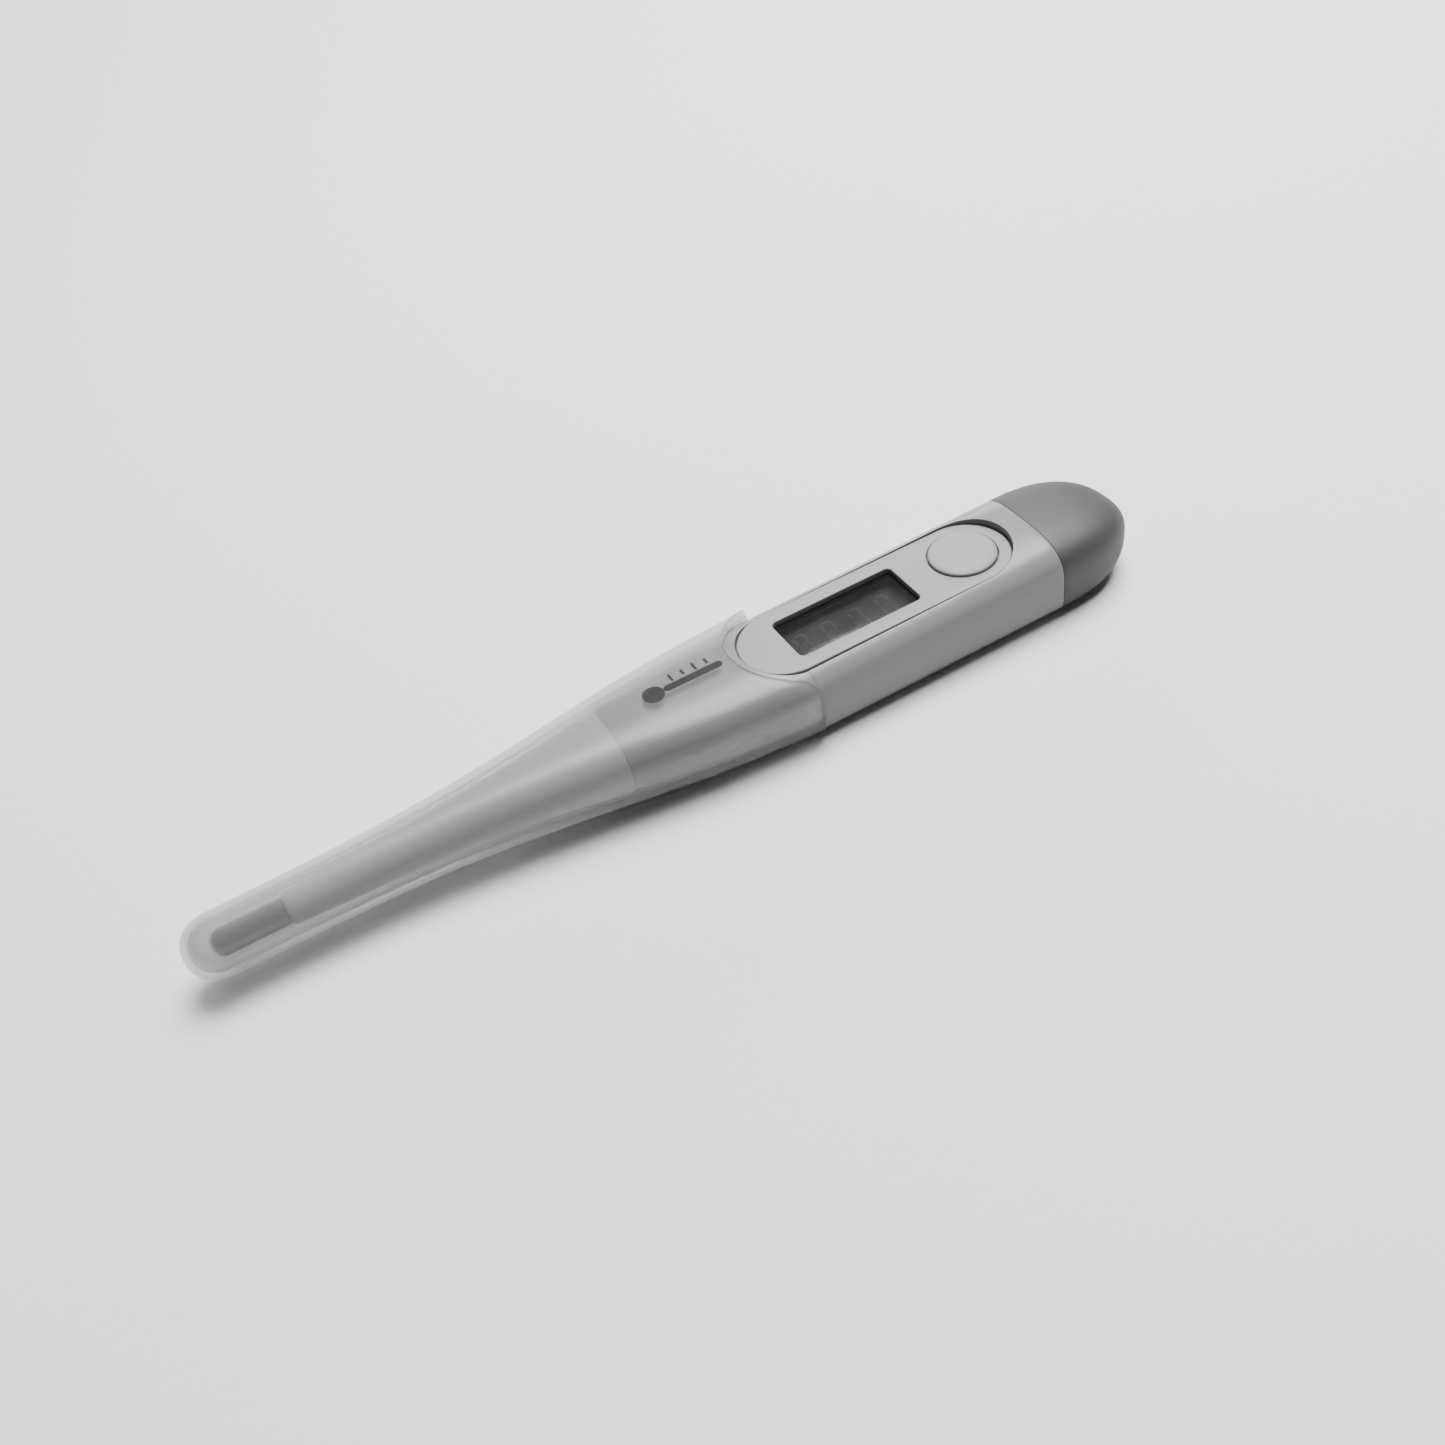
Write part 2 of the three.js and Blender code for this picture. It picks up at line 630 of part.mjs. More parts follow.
function batteryCover() {
  const base = { ...bodySection(BODY.seam), x: BODY.seam + COVER.gap };
  const shoulder = { ...base, x: base.x + 1.2 };
  const outer = loft([base, shoulder, ...roundedEnd(shoulder, REAR_X, COVER.bluntness, 7)]);
  const inner = inset({ ...base, foot: false }, COVER.side, COVER.lid, COVER.lid);
  const innerEnd = roundedEnd(inner, REAR_X - COVER.wall, COVER.hollowBluntness, 5);
  const hollow = loft([{ ...inner, x: base.x - 0.5 }, inner, ...innerEnd]);
  const plug = inset(CHAMBER, SPIGOT.gap, SPIGOT.gap, SPIGOT.gap);
  const bore = inset(plug, SPIGOT.wall, SPIGOT.wall, SPIGOT.wall);
  const spigot = loft([{ ...plug, x: SPIGOT.front }, { ...plug, x: base.x + 0.8 }]);
  const way = loft([{ ...bore, x: SPIGOT.front - 1 }, { ...bore, x: base.x + 2 }]);
  const { grooveDepth, grooveProud, from, to, play } = SEAL;
  const groove = sealRing(grooveDepth, grooveProud, from - play, to + play);
  return cut(join(cut(outer, hollow), spigot), way, groove);
}

// A ring that follows the spigot's section: its inner faces lie depth below the spigot's surface
// and its outer faces stand proud of it. It runs between two distances from the spigot's front.
function sealRing(depth, proud, from, to) {
  const x0 = SPIGOT.front + from;
  const x1 = SPIGOT.front + to;
  const evenly = (by) => inset(CHAMBER, by, by, by);
  const ringOut = evenly(SPIGOT.gap - proud);
  const ringIn = evenly(SPIGOT.gap + depth);
  const body = loft([{ ...ringOut, x: x0 }, { ...ringOut, x: x1 }]);
  return cut(body, loft([{ ...ringIn, x: x0 - 1 }, { ...ringIn, x: x1 + 1 }]));
}

const coverSeal = () => sealRing(SEAL.depth, SEAL.proud, SEAL.from, SEAL.to);

// ---------------------------------------------------------------- assembly

const thermometer = new THREE.Group();

function add(name, geometry, material) {
  const mesh = new THREE.Mesh(geometry, material);
  mesh.name = name;
  thermometer.add(mesh);
}

add("protective_cap", protectiveCap(), FINISH.cap);
add("housing", housing(), FINISH.shell);
add("probe_shaft", probeShaft(), FINISH.probe);
add("tip_sheath", tipSheath(), FINISH.steel);
add("tip_epoxy", tipEpoxy(), FINISH.epoxy);
add("thermistor_bead", thermistorBead(), FINISH.black);
add("sensor_lead_a", sensorLead(1), FINISH.insulation);
add("sensor_lead_b", sensorLead(-1), FINISH.insulation);
add("display_bezel", displayBezel(), FINISH.bezel);
add("display_lens", displayLens(), FINISH.lens);
add("power_button", powerButton(), FINISH.button);
add("carrier_frame", carrierFrame(), FINISH.carrier);
add("circuit_board", circuitBoard(), FINISH.board);
add("display_frame", displayFrame(), FINISH.carrier);
add("zebra_connector", zebraConnector(), FINISH.black);
add("lcd_rear_glass", lcdRearGlass(), FINISH.glass);
add("lcd_front_glass", lcdFrontGlass(), FINISH.glass);
add("switch_base", switchBase(), FINISH.black);
add("switch_stem", switchStem(), FINISH.carrier);
add("controller_blob", controllerBlob(), FINISH.black);
add("chip_capacitor_1", chip(38, 3.6, CAPACITOR), FINISH.chip);
add("chip_capacitor_2", chip(38, -3.6, CAPACITOR), FINISH.chip);
add("chip_resistor_1", chip(10.6, 3.4, RESISTOR), FINISH.black);
add("chip_resistor_2", chip(10.6, -3.4, RESISTOR), FINISH.black);
add("buzzer_plate", buzzerPlate(), FINISH.brass);
add("buzzer_ceramic", buzzerCeramic(), FINISH.ceramic);
add("battery_cell", batteryCell(), FINISH.steel);
add("battery_contact_negative", batteryContactNegative(), FINISH.steel);
add("battery_contact_positive", batteryContactPositive(), FINISH.steel);
add("battery_cover", batteryCover(), FINISH.cover);
add("cover_seal", coverSeal(), FINISH.seal);

// The origin is under the middle of the capped thermometer.
thermometer.position.x = -(TIP_X + REAR_X) / 2;

export default thermometer;
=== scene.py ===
"""The looks of a capped stick thermometer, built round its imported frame.

The file is laid out as an add-on and is run as a script. Everything is in metres, in the frame's own
axes: +X from the sensing tip to the battery cover, +Y across, +Z up out of the display.
"""

import math

import bmesh
import bpy
from mathutils import Matrix, Vector


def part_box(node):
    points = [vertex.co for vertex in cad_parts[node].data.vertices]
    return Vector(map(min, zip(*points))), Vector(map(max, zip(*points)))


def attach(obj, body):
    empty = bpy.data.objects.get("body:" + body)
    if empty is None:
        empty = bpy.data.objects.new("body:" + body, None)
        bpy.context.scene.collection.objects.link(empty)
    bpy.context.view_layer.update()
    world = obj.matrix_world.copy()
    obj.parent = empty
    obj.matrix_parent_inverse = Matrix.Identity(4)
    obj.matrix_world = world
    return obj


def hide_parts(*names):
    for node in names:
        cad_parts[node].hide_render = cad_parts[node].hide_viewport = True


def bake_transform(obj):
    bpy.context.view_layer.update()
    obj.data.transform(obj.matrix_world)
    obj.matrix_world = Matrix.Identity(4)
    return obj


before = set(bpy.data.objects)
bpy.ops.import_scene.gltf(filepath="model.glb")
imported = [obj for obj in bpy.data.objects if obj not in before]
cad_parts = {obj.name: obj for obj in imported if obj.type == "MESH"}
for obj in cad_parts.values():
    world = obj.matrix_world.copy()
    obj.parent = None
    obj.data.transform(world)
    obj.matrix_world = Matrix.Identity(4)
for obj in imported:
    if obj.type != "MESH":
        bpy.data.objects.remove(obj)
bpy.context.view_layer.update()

bl_info = {
    "name": "Stick thermometer",
    "version": (1, 0, 0),
    "blender": (4, 5, 0),
    "location": "View3D > Sidebar > Thermometer",
    "description": "Builds the visible pieces of a capped stick thermometer round its frame",
    "category": "Add Mesh",
}

MM = 0.001
MERGE = 0.002 * MM
AROUND = 128  # columns round a lofted skin

CAP_LOW, CAP_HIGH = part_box("protective_cap")
HOUSING_LOW, HOUSING_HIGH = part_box("housing")
SHEATH_LOW, SHEATH_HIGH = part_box("tip_sheath")
BEZEL_LOW, BEZEL_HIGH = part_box("display_bezel")
LENS_LOW, LENS_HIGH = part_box("display_lens")
BUTTON_LOW, BUTTON_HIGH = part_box("power_button")
LCD_LOW, LCD_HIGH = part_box("lcd_front_glass")
CELL_LOW, CELL_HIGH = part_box("battery_cell")
COVER_LOW, COVER_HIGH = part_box("battery_cover")
SEAL_LOW, SEAL_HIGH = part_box("cover_seal")

BEZEL_RADIUS = BEZEL_HIGH.y
BEZEL_FRONT = BEZEL_LOW.x + BEZEL_RADIUS  # centre of the front arc
BEZEL_REAR = BEZEL_HIGH.x - BEZEL_RADIUS  # centre of the rear arc
BUTTON_X = (BUTTON_LOW.x + BUTTON_HIGH.x) / 2
TIP_Z = (SHEATH_LOW.z + SHEATH_HIGH.z) / 2
SEAM = HOUSING_HIGH.x

CLEARANCE = 0.05 * MM  # between pieces that lie against each other
LEDGE = BEZEL_LOW.z - CLEARANCE  # just under the display face
FOOT = 0.12 * MM  # planed off the underside, so that it lies flat

# Exponents of rounded corners: 2 is round, and a higher one is squarer.
BODY_SQUARE = 3.0
BODY_BELOW = 4.5
CHAMBER_SQUARE = 4.5


# ---------------------------------------------------------------- what a user would change


def length(name, description, millimetres):
    """A length property whose default is given in millimetres."""
    return bpy.props.FloatProperty(
        name=name,
        description=description,
        default=millimetres * MM,
        unit="LENGTH",
        subtype="DISTANCE",
        precision=5,
    )


def angle(name, description, degrees):
    """An angle property whose default is given in degrees."""
    return bpy.props.FloatProperty(
        name=name, description=description, default=math.radians(degrees), subtype="ANGLE"
    )


def colour(name, description, default):
    return bpy.props.FloatVectorProperty(
        name=name, description=description, default=default, size=3, min=0, max=1, subtype="COLOR"
    )


class ThermometerSizes(bpy.types.PropertyGroup):
    cap_wall: length("Cap wall", "Thickness of the protective cap", 0.8)
    cap_step: length("Cap step", "From the cap's outside to the housing under it", 1.0)
    cap_rim: length("Cap rim", "Rounding of the cap's mouth", 0.22)
    print_scale: length("Print scale", "Length of one unit of the pictogram", 1.1)
    print_back: length("Print back", "From the display face's front arc to the pictogram's middle", 14.5)
    scallop: length("Scallop", "Radius of the notch that clears the display face", 8.2)
    scallop_shift: length("Scallop shift", "From the display face's front arc to the notch's centre", 0.4)
    ear: length("Ear", "Rounding of the ears' upper corners, seen from the side", 2.5)
    ear_height: length("Ear height", "Height at which that rounding starts", 8.0)
    crown: length("Crown", "Height of the housing just behind the cap", 10.4)
    pocket_gap: length("Pocket gap", "Clearance round the display face", 0.16)
    pocket_rim: length("Pocket rim", "Rounding of the pocket's upper edge", 0.28)
    roof: length("Roof", "Height of the ceiling inside the housing", 8.3)
    moulded_edge: length("Moulded edge", "Rounding of the display face's edges", 0.16)
    seam_edge: length("Seam edge", "Rounding on both sides of the cover's seam", 0.06)
    cover_wall: length("Cover wall", "Thickness of the battery cover", 1.6)
    button_radius: length("Button radius", "Radius of the round push button", 4.5)
    button_edge: length("Button edge", "Rounding round the button's crown", 0.55)
    digit: length("Digit", "Height of one display digit", 3.9)


class ThermometerColours(bpy.types.PropertyGroup):
    cap: colour("Cap", "Frosted translucent plastic", (0.275, 0.278, 0.273))
    shell: colour("Shell", "Glossy housing", (0.178, 0.174, 0.166))
    probe: colour("Probe", "Probe under the cap", (0.45, 0.445, 0.43))
    cover: colour("Cover", "Satin battery cover", (0.037, 0.037, 0.0365))
    face: colour("Face", "Matte display face", (0.2, 0.2, 0.198))
    button: colour("Button", "Soft push button", (0.225, 0.225, 0.222))
    lens: colour("Lens", "Smoked window", (0.02, 0.0205, 0.0205))
    floor: colour("Floor", "Studio floor", (0.72, 0.72, 0.72))


class StudioSettings(bpy.types.PropertyGroup):
    azimuth: angle("Azimuth", "Turn of the camera about the vertical", -20.9)
    elevation: angle("Elevation", "Camera's angle above the floor", 43.7)
    roll: angle("Roll", "Turn of the camera about its own axis", -11.7)
    distance: length("Distance", "Camera to its aim", 190.0)
    lens: bpy.props.FloatProperty(
        name="Lens", description="Focal length on a 36 mm sensor", default=38.18, unit="CAMERA"
    )
    aim: bpy.props.FloatVectorProperty(
        name="Aim", description="Point that the camera looks at", default=(0.003, -0.0031, 0.005),
        size=3, subtype="TRANSLATION", unit="LENGTH",
    )


# ---------------------------------------------------------------- sections


def lerp(a, b, t):
    return a + (b - a) * t


def smooth(t):
    t = min(max(t, 0.0), 1.0)
    return t * t * (3 - 2 * t)


def quarter(steps):
    """The angles of a quarter turn in even steps, from 0 on."""
    return [k / steps * math.pi / 2 for k in range(steps + 1)]


class Section:
    """One rounded-square cut at x: half its width, its bottom and top, and the exponents of its corners."""

    def __init__(self, x, half, low, high, square, below=None, foot=0.0):
        self.x = x
        self.half = half
        self.low = low
        self.high = high
        self.square = square
        self.below = below or square
        self.foot = foot  # how much of the bottom is planed off

    def inset(self, by):
        return Section(
            self.x, self.half - by, self.low + by, self.high - by, self.square, self.below, self.foot
        )

    def moved(self, x):
        return Section(x, self.half, self.low, self.high, self.square, self.below, self.foot)

    def shrunk(self, share, x):
        middle = (self.low + self.high) / 2
        low = lerp(middle, self.low, share)
        high = lerp(middle, self.high, share)
        return Section(x, self.half * share, low, high, self.square, self.below)

    def edge_angle(self, y):
        """The angle at which the section's top is y from the middle."""
        return math.acos(min(y / self.half, 1.0) ** (self.square / 2))

    def point(self, angle):
        under = self.low - self.foot
        middle = (under + self.high) / 2
        rise = (self.high - under) / 2
        cos, sin = math.cos(angle), math.sin(angle)
        power = 2 / (self.square if sin > 0 else self.below)
        y = self.half * math.copysign(abs(cos) ** power, cos)
        z = middle + rise * math.copysign(abs(sin) ** power, sin)
        return Vector((self.x, y, max(z, self.low)))


def measured(node, stations):
    """Half width, bottom and top of a frame part at each station, eased between them."""
    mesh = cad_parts[node].data
    ends = [(mesh.vertices[e.vertices[0]].co, mesh.vertices[e.vertices[1]].co) for e in mesh.edges]
    rows = []
    for x in stations:
        cuts = [a.lerp(b, (x - a.x) / (b.x - a.x)) for a, b in ends if (a.x - x) * (b.x - x) < 0]
        rows.append((max(c.y for c in cuts), min(c.z for c in cuts), max(c.z for c in cuts)))

    def at(x):
        k = max(1, next((i for i, s in enumerate(stations) if s >= x), len(stations) - 1))
        span = stations[k] - stations[k - 1]
        t = min(max((x - stations[k - 1]) / span, 0.0), 1.0)
        before, after = max(k - 2, 0), min(k + 1, len(stations) - 1)
        values = []
        for a0, a, b, b1 in zip(rows[before], rows[k - 1], rows[k], rows[after]):
            slope_a = (b - a0) / (stations[k] - stations[before]) * span
            slope_b = (b1 - a) / (stations[after] - stations[k - 1]) * span
            values.append(
                (2 * t**3 - 3 * t**2 + 1) * a + (t**3 - 2 * t**2 + t) * slope_a
                + (3 * t**2 - 2 * t**3) * b + (t**3 - t**2) * slope_b
            )
        return values

    return at


def rounded_end(base, end, bluntness, steps):
    """Sections that close a base section to a point at x = end, after the base itself."""
    round_top, round_below = 2.3, 2.5  # exponents of the corners at the point
    sections = []
    for i in range(1, steps + 1):
        turn = i / steps * math.pi / 2
        along = math.sin(turn) ** (2 / bluntness)
        share = max(math.cos(turn), 0.0) ** (2 / bluntness) if i < steps else 0.0
        cut = base.shrunk(share, lerp(base.x, end, along))
        cut.square = lerp(min(base.square, round_top), base.square, share)
        cut.below = lerp(min(base.below, round_below), base.below, share)
        sections.append(cut)
    return sections


# ---------------------------------------------------------------- mesh tools


def wrapped(bm, across, along, place):
    """A grid put in place by place(u, v) and closed where its edges meet. Returns its open edges."""
    made = bmesh.ops.create_grid(bm, x_segments=across, y_segments=along, size=0.5)["verts"]
    for vert in made:
        vert.co = place(vert.co.x + 0.5, vert.co.y + 0.5)
    bmesh.ops.remove_doubles(bm, verts=made, dist=MERGE)
    verts = {v for v in made if v.is_valid}
    return [e for e in bm.edges if e.is_boundary and e.verts[0] in verts]


def strung(bm, sections, across=AROUND):
    """A skin through a list of sections. Returns its open edges."""
    last = len(sections) - 1

    def place(u, v):
        return sections[round(v * last)].point(2 * math.pi * u + math.pi / across)

    return wrapped(bm, across, last, place)


def sharp_edges(bm, least, keep=lambda edge: True):
    """The edges whose two faces turn by more than so many degrees."""
    return [
        e for e in bm.edges
        if len(e.link_faces) == 2 and e.calc_face_angle(0.0) > math.radians(least) and keep(e)
    ]


def ease(bm, edges, width, segments=3):
    bmesh.ops.bevel(
        bm, geom=edges, offset=width, offset_type="OFFSET", segments=segments,
        profile=0.5, affect="EDGES", clamp_overlap=True, material=-1,
    )


def outline(bm, radius, spread_x, spread_y, centre, segments=96):
    """A round loop whose quarters are moved apart, which makes a slot or a rounded rectangle."""
    turn = Matrix.Rotation(math.pi / segments, 3, "Z")
    loop = bmesh.ops.create_circle(bm, cap_ends=False, radius=radius, segments=segments)["verts"]
    bmesh.ops.rotate(bm, verts=loop, cent=(0, 0, 0), matrix=turn)
    for vert in loop:
        vert.co.x += math.copysign(spread_x, vert.co.x)
        vert.co.y += math.copysign(spread_y, vert.co.y)
    bmesh.ops.translate(bm, verts=loop, vec=centre)
    return list({e for v in loop for e in v.link_edges})


def moulded_slab(low, high, corner, edge, holes=()):
    """A flat plate with rounded corners and edges. Each hole is (radius, spread_x, spread_y, x)."""
    bm = bmesh.new()
    centre = (low + high) / 2
    half = (high - low) / 2
    shapes = [(corner, half.x - corner, half.y - corner, centre.x, -1)]
    shapes += [(*hole, 1) for hole in holes]
    rims = {"top": [], "bottom": []}
    for radius, spread_x, spread_y, x, side in shapes:
        profile = [(edge * (1 - math.sin(t)), high.z - edge * (1 - math.cos(t))) for t in quarter(4)]
        profile.append((0.0, low.z))
        loops = [
            outline(bm, radius + side * back, spread_x, spread_y, (x, centre.y, z))
            for back, z in profile
        ]
        for upper, lower in zip(loops, loops[1:]):
            bmesh.ops.bridge_loops(bm, edges=upper + lower)
        rims["top"] += loops[0]
        rims["bottom"] += loops[-1]
    for rim in rims.values():
        bmesh.ops.triangle_fill(bm, use_beauty=True, edges=rim)
    return bm


def turned(profile, axis, centre, steps=96):
    """A solid turned from (radius, height) points that start and end on the axis."""
    bm = bmesh.new()
    side = Vector((1, 0, 0)) if axis == "Z" else Vector((0, 0, 1))
    up = Vector((0, 0, 1)) if axis == "Z" else Vector((1, 0, 0))
    verts = [bm.verts.new(centre + side * r + up * h) for r, h in profile]
    edges = [bm.edges.new(pair) for pair in zip(verts, verts[1:])]
    bmesh.ops.spin(
        bm, geom=verts + edges, cent=centre, axis=up, angle=2 * math.pi, steps=steps, use_merge=True
    )
    bmesh.ops.remove_doubles(bm, verts=bm.verts, dist=MERGE)
    return bm


def rounded_profile(points, radius, steps=4):
    """The corners of a (radius, height) outline rounded by short arcs."""
    most = 0.45  # of either side
    result = [points[0]]
    for before, corner, after in zip(points, points[1:], points[2:]):
        a, c, b = Vector(before), Vector(corner), Vector(after)
        cut = min(radius, (a - c).length * most, (b - c).length * most)
        start = c + (a - c).normalized() * cut
        end = c + (b - c).normalized() * cut
        for k in range(steps + 1):
            t = k / steps
            result.append(tuple(start * (1 - t) ** 2 + c * 2 * t * (1 - t) + end * t**2))
    result.append(points[-1])
    return result


def finished(name, bm, look, body, slot, *replaced, crease=38):
    """Turns the bmesh into a piece: small gaps closed, faces out, smooth but for its creases."""
    bmesh.ops.holes_fill(bm, edges=[e for e in bm.edges if e.is_boundary], sides=6)
    bmesh.ops.recalc_face_normals(bm, faces=bm.faces)
    mesh = bpy.data.meshes.new(name)
    bm.to_mesh(mesh)
    bm.free()
    mesh.shade_smooth()
    mesh.set_sharp_from_angle(angle=math.radians(crease))
    piece = bpy.data.objects.new(name, mesh)
    bpy.context.scene.collection.objects.link(piece)
    mesh.materials.append(look)
    if body:
        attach(piece, body)
    if replaced:
        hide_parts(*replaced)
    return piece


def thickened(bm, height):
    """Extrudes a flat drawing into a solid film."""
    made = bmesh.ops.extrude_face_region(bm, geom=list(bm.faces))["geom"]
    raised = [g for g in made if isinstance(g, bmesh.types.BMVert)]
    bmesh.ops.translate(bm, verts=raised, vec=(0, 0, height))


def softened(node, name, look, body, slot, width):
    """A copy of a frame part with its flat faces made whole and its edges rounded."""
    bm = bmesh.new()
    bm.from_mesh(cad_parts[node].data)
    bmesh.ops.remove_doubles(bm, verts=bm.verts, dist=MERGE)
    bmesh.ops.dissolve_limit(bm, angle_limit=math.radians(1), verts=bm.verts, edges=bm.edges)
    ease(bm, sharp_edges(bm, 40), width, segments=2)
    return finished(name, bm, look, body, slot, node)


# ---------------------------------------------------------------- materials


class Look:
    """A Principled material and short ways to wire patterns that are fixed to the piece."""

    def __init__(self, name, base, roughness, **sockets):
        self.material = bpy.data.materials.new(name)
        self.material.use_nodes = True
        self.nodes = self.material.node_tree.nodes
        self.links = self.material.node_tree.links
        self.shader = self.nodes["Principled BSDF"]
        self.coordinates = self.nodes.new("ShaderNodeTexCoord").outputs["Object"]
        self.set("Base Color", (*base, 1.0))
        self.set("Roughness", roughness)
        for socket, value in sockets.items():
            self.set(socket.replace("_", " "), value)

    def set(self, socket, value):
        self.shader.inputs[socket].default_value = value

    def noise(self, size, detail=3.0, stretch=(1, 1, 1)):
        """Noise whose features are size metres across."""
        mapping = self.nodes.new("ShaderNodeMapping")
        mapping.inputs["Scale"].default_value = stretch
        self.links.new(self.coordinates, mapping.inputs["Vector"])
        node = self.nodes.new("ShaderNodeTexNoise")
        node.inputs["Scale"].default_value = 1 / size
        node.inputs["Detail"].default_value = detail
        self.links.new(mapping.outputs["Vector"], node.inputs["Vector"])
        return node.outputs["Fac"]

    def ramp(self, factor, low, high):
        """Noise, which keeps mostly between 0.3 and 0.7, spread over low to high."""
        node = self.nodes.new("ShaderNodeMapRange")
        node.inputs["From Min"].default_value = 0.3
        node.inputs["From Max"].default_value = 0.7
        node.inputs["To Min"].default_value = low
        node.inputs["To Max"].default_value = high
        self.links.new(factor, node.inputs["Value"])
        return node.outputs["Result"]

    def mottle(self, factor, dark, light):
        """Base colour that drifts between two tones."""
        node = self.nodes.new("ShaderNodeMix")
        node.data_type = "RGBA"
        node.inputs["A"].default_value = (*dark, 1.0)
        node.inputs["B"].default_value = (*light, 1.0)
        self.links.new(self.ramp(factor, 0.0, 1.0), node.inputs["Factor"])
        self.links.new(node.outputs["Result"], self.shader.inputs["Base Color"])

    def gloss(self, factor, low, high):
        self.links.new(self.ramp(factor, low, high), self.shader.inputs["Roughness"])

    def bump(self, factor, depth, strength=1.0):
        """Relief of the given depth in metres."""
        node = self.nodes.new("ShaderNodeBump")
        node.inputs["Distance"].default_value = depth
        node.inputs["Strength"].default_value = strength
        self.links.new(factor, node.inputs["Height"])
        self.links.new(node.outputs["Normal"], self.shader.inputs["Normal"])


def tones(base, spread):
    """A slightly darker and a slightly lighter tone of one colour."""
    return [tuple(min(c * (1 + s), 1.0) for c in base) for s in (-spread, spread)]


def moulded(name, base, roughness, grain, depth, spread=0.02, **sockets):
    """Moulded plastic: a slow drift of tone and gloss, and a fine spark-eroded grain."""
    look = Look(name, base, roughness, **sockets)
    slow = look.noise(9 * MM, detail=2.0)
    look.mottle(slow, *tones(base, spread))
    look.gloss(look.noise(2.5 * MM), roughness * 0.95, roughness * 1.05)
    look.bump(look.noise(grain, detail=2.0), depth)
    return look.material


def frosted_plastic(base):
    """Translucent plastic with a fine frost that blurs what is inside."""
    look = Look("frosted_cap", base, 0.3, IOR=1.45, Transmission_Weight=0.4, Alpha=0.45)
    look.mottle(look.noise(7 * MM, detail=2.0), *tones(base, 0.02))
    look.gloss(look.noise(1.5 * MM), 0.28, 0.33)
    look.bump(look.noise(0.5 * MM, detail=2.0), 0.002 * MM)
    return look.material


def smoked_lens(base):
    look = Look("smoked_lens", base, 0.1, IOR=1.49, Alpha=0.42)
    look.gloss(look.noise(3 * MM), 0.08, 0.13)
    look.mottle(look.noise(2.2 * MM, detail=4.0), *tones(base, 0.35))
    return look.material


def drawn_steel(name, base=(0.36, 0.35, 0.33), roughness=0.3, stretch=(1, 14, 14)):
    """Steel with fine lines along X from drawing or grinding."""
    look = Look(name, base, roughness, Metallic=1.0)
    lines = look.noise(1.2 * MM, detail=5.0, stretch=stretch)
    look.mottle(look.noise(2 * MM), *tones(base, 0.06))
    look.gloss(lines, roughness * 0.75, roughness * 1.25)
    look.bump(lines, 0.004 * MM)
    return look.material


def solder_mask():
    """Green board lacquer over a faint weave of tracks."""
    base = (0.018, 0.12, 0.055)
    look = Look("solder_mask", base, 0.32, Coat_Weight=0.3)
    tracks = look.nodes.new("ShaderNodeTexBrick")
    tracks.inputs["Scale"].default_value = 220.0
    tracks.inputs["Mortar Size"].default_value = 0.03
    tracks.inputs["Color1"].default_value = (*base, 1.0)
    tracks.inputs["Color2"].default_value = (*[c * 1.15 for c in base], 1.0)
    tracks.inputs["Mortar"].default_value = (0.04, 0.2, 0.1, 1.0)
    look.links.new(look.coordinates, tracks.inputs["Vector"])
    look.links.new(tracks.outputs["Color"], look.shader.inputs["Base Color"])
    look.bump(tracks.outputs["Fac"], 0.02 * MM, strength=0.4)
    return look.material


LOOKS = {}


def make_looks(colours):
    LOOKS.update(
        cap=frosted_plastic(colours.cap),
        shell=moulded(
            "shell_white", colours.shell, 0.3, 0.9 * MM, 0.001 * MM, spread=0.01, Specular_IOR_Level=0.3,
        ),
        probe=moulded("probe_white", colours.probe, 0.35, 0.9 * MM, 0.002 * MM),
        cover=moulded("cover_grey", colours.cover, 0.58, 0.16 * MM, 0.006 * MM),
        face=moulded("face_grey", colours.face, 0.5, 0.12 * MM, 0.006 * MM),
        button=moulded("button_grey", colours.button, 0.55, 0.2 * MM, 0.006 * MM),
        ink=moulded(
            "printed_ink", (0.01, 0.0102, 0.0105), 0.7, 0.2 * MM, 0.001 * MM,
            spread=0.12, Specular_IOR_Level=0.25,
        ),
        lens=smoked_lens(colours.lens),
        lcd=moulded("lcd_glass", (0.1, 0.103, 0.1), 0.5, 1 * MM, 0.001 * MM, spread=0.3),
        segments=moulded("lcd_segments", (0.14, 0.14, 0.137), 0.5, 0.6 * MM, 0.001 * MM, spread=0.5),
        steel=drawn_steel("drawn_steel", base=(0.2, 0.194, 0.18), roughness=0.12),
        cell=drawn_steel("cell_steel", base=(0.62, 0.61, 0.58), roughness=0.24, stretch=(9, 1, 9)),
        spring=drawn_steel("spring_steel", base=(0.56, 0.54, 0.5), roughness=0.28),
        brass=drawn_steel("rolled_brass", base=(0.66, 0.45, 0.17), roughness=0.3, stretch=(1, 6, 6)),
        ceramic=moulded("silvered_ceramic", (0.72, 0.7, 0.64), 0.4, 0.3 * MM, 0.01 * MM, spread=0.06),
        board=solder_mask(),
        black=moulded("black_moulding", (0.018, 0.018, 0.02), 0.42, 0.2 * MM, 0.008 * MM, spread=0.15),
        chip=moulded("chip_body", (0.32, 0.21, 0.12), 0.45, 0.15 * MM, 0.01 * MM, spread=0.08),
        inner=moulded("inner_moulding", (0.72, 0.72, 0.7), 0.42, 0.3 * MM, 0.006 * MM),
        seal=moulded("seal_rubber", (0.03, 0.03, 0.031), 0.6, 0.15 * MM, 0.01 * MM, spread=0.1),
        lead=moulded("wire_lacquer", (0.36, 0.04, 0.025), 0.3, 0.3 * MM, 0.004 * MM, spread=0.08),
    )


# ---------------------------------------------------------------- cap


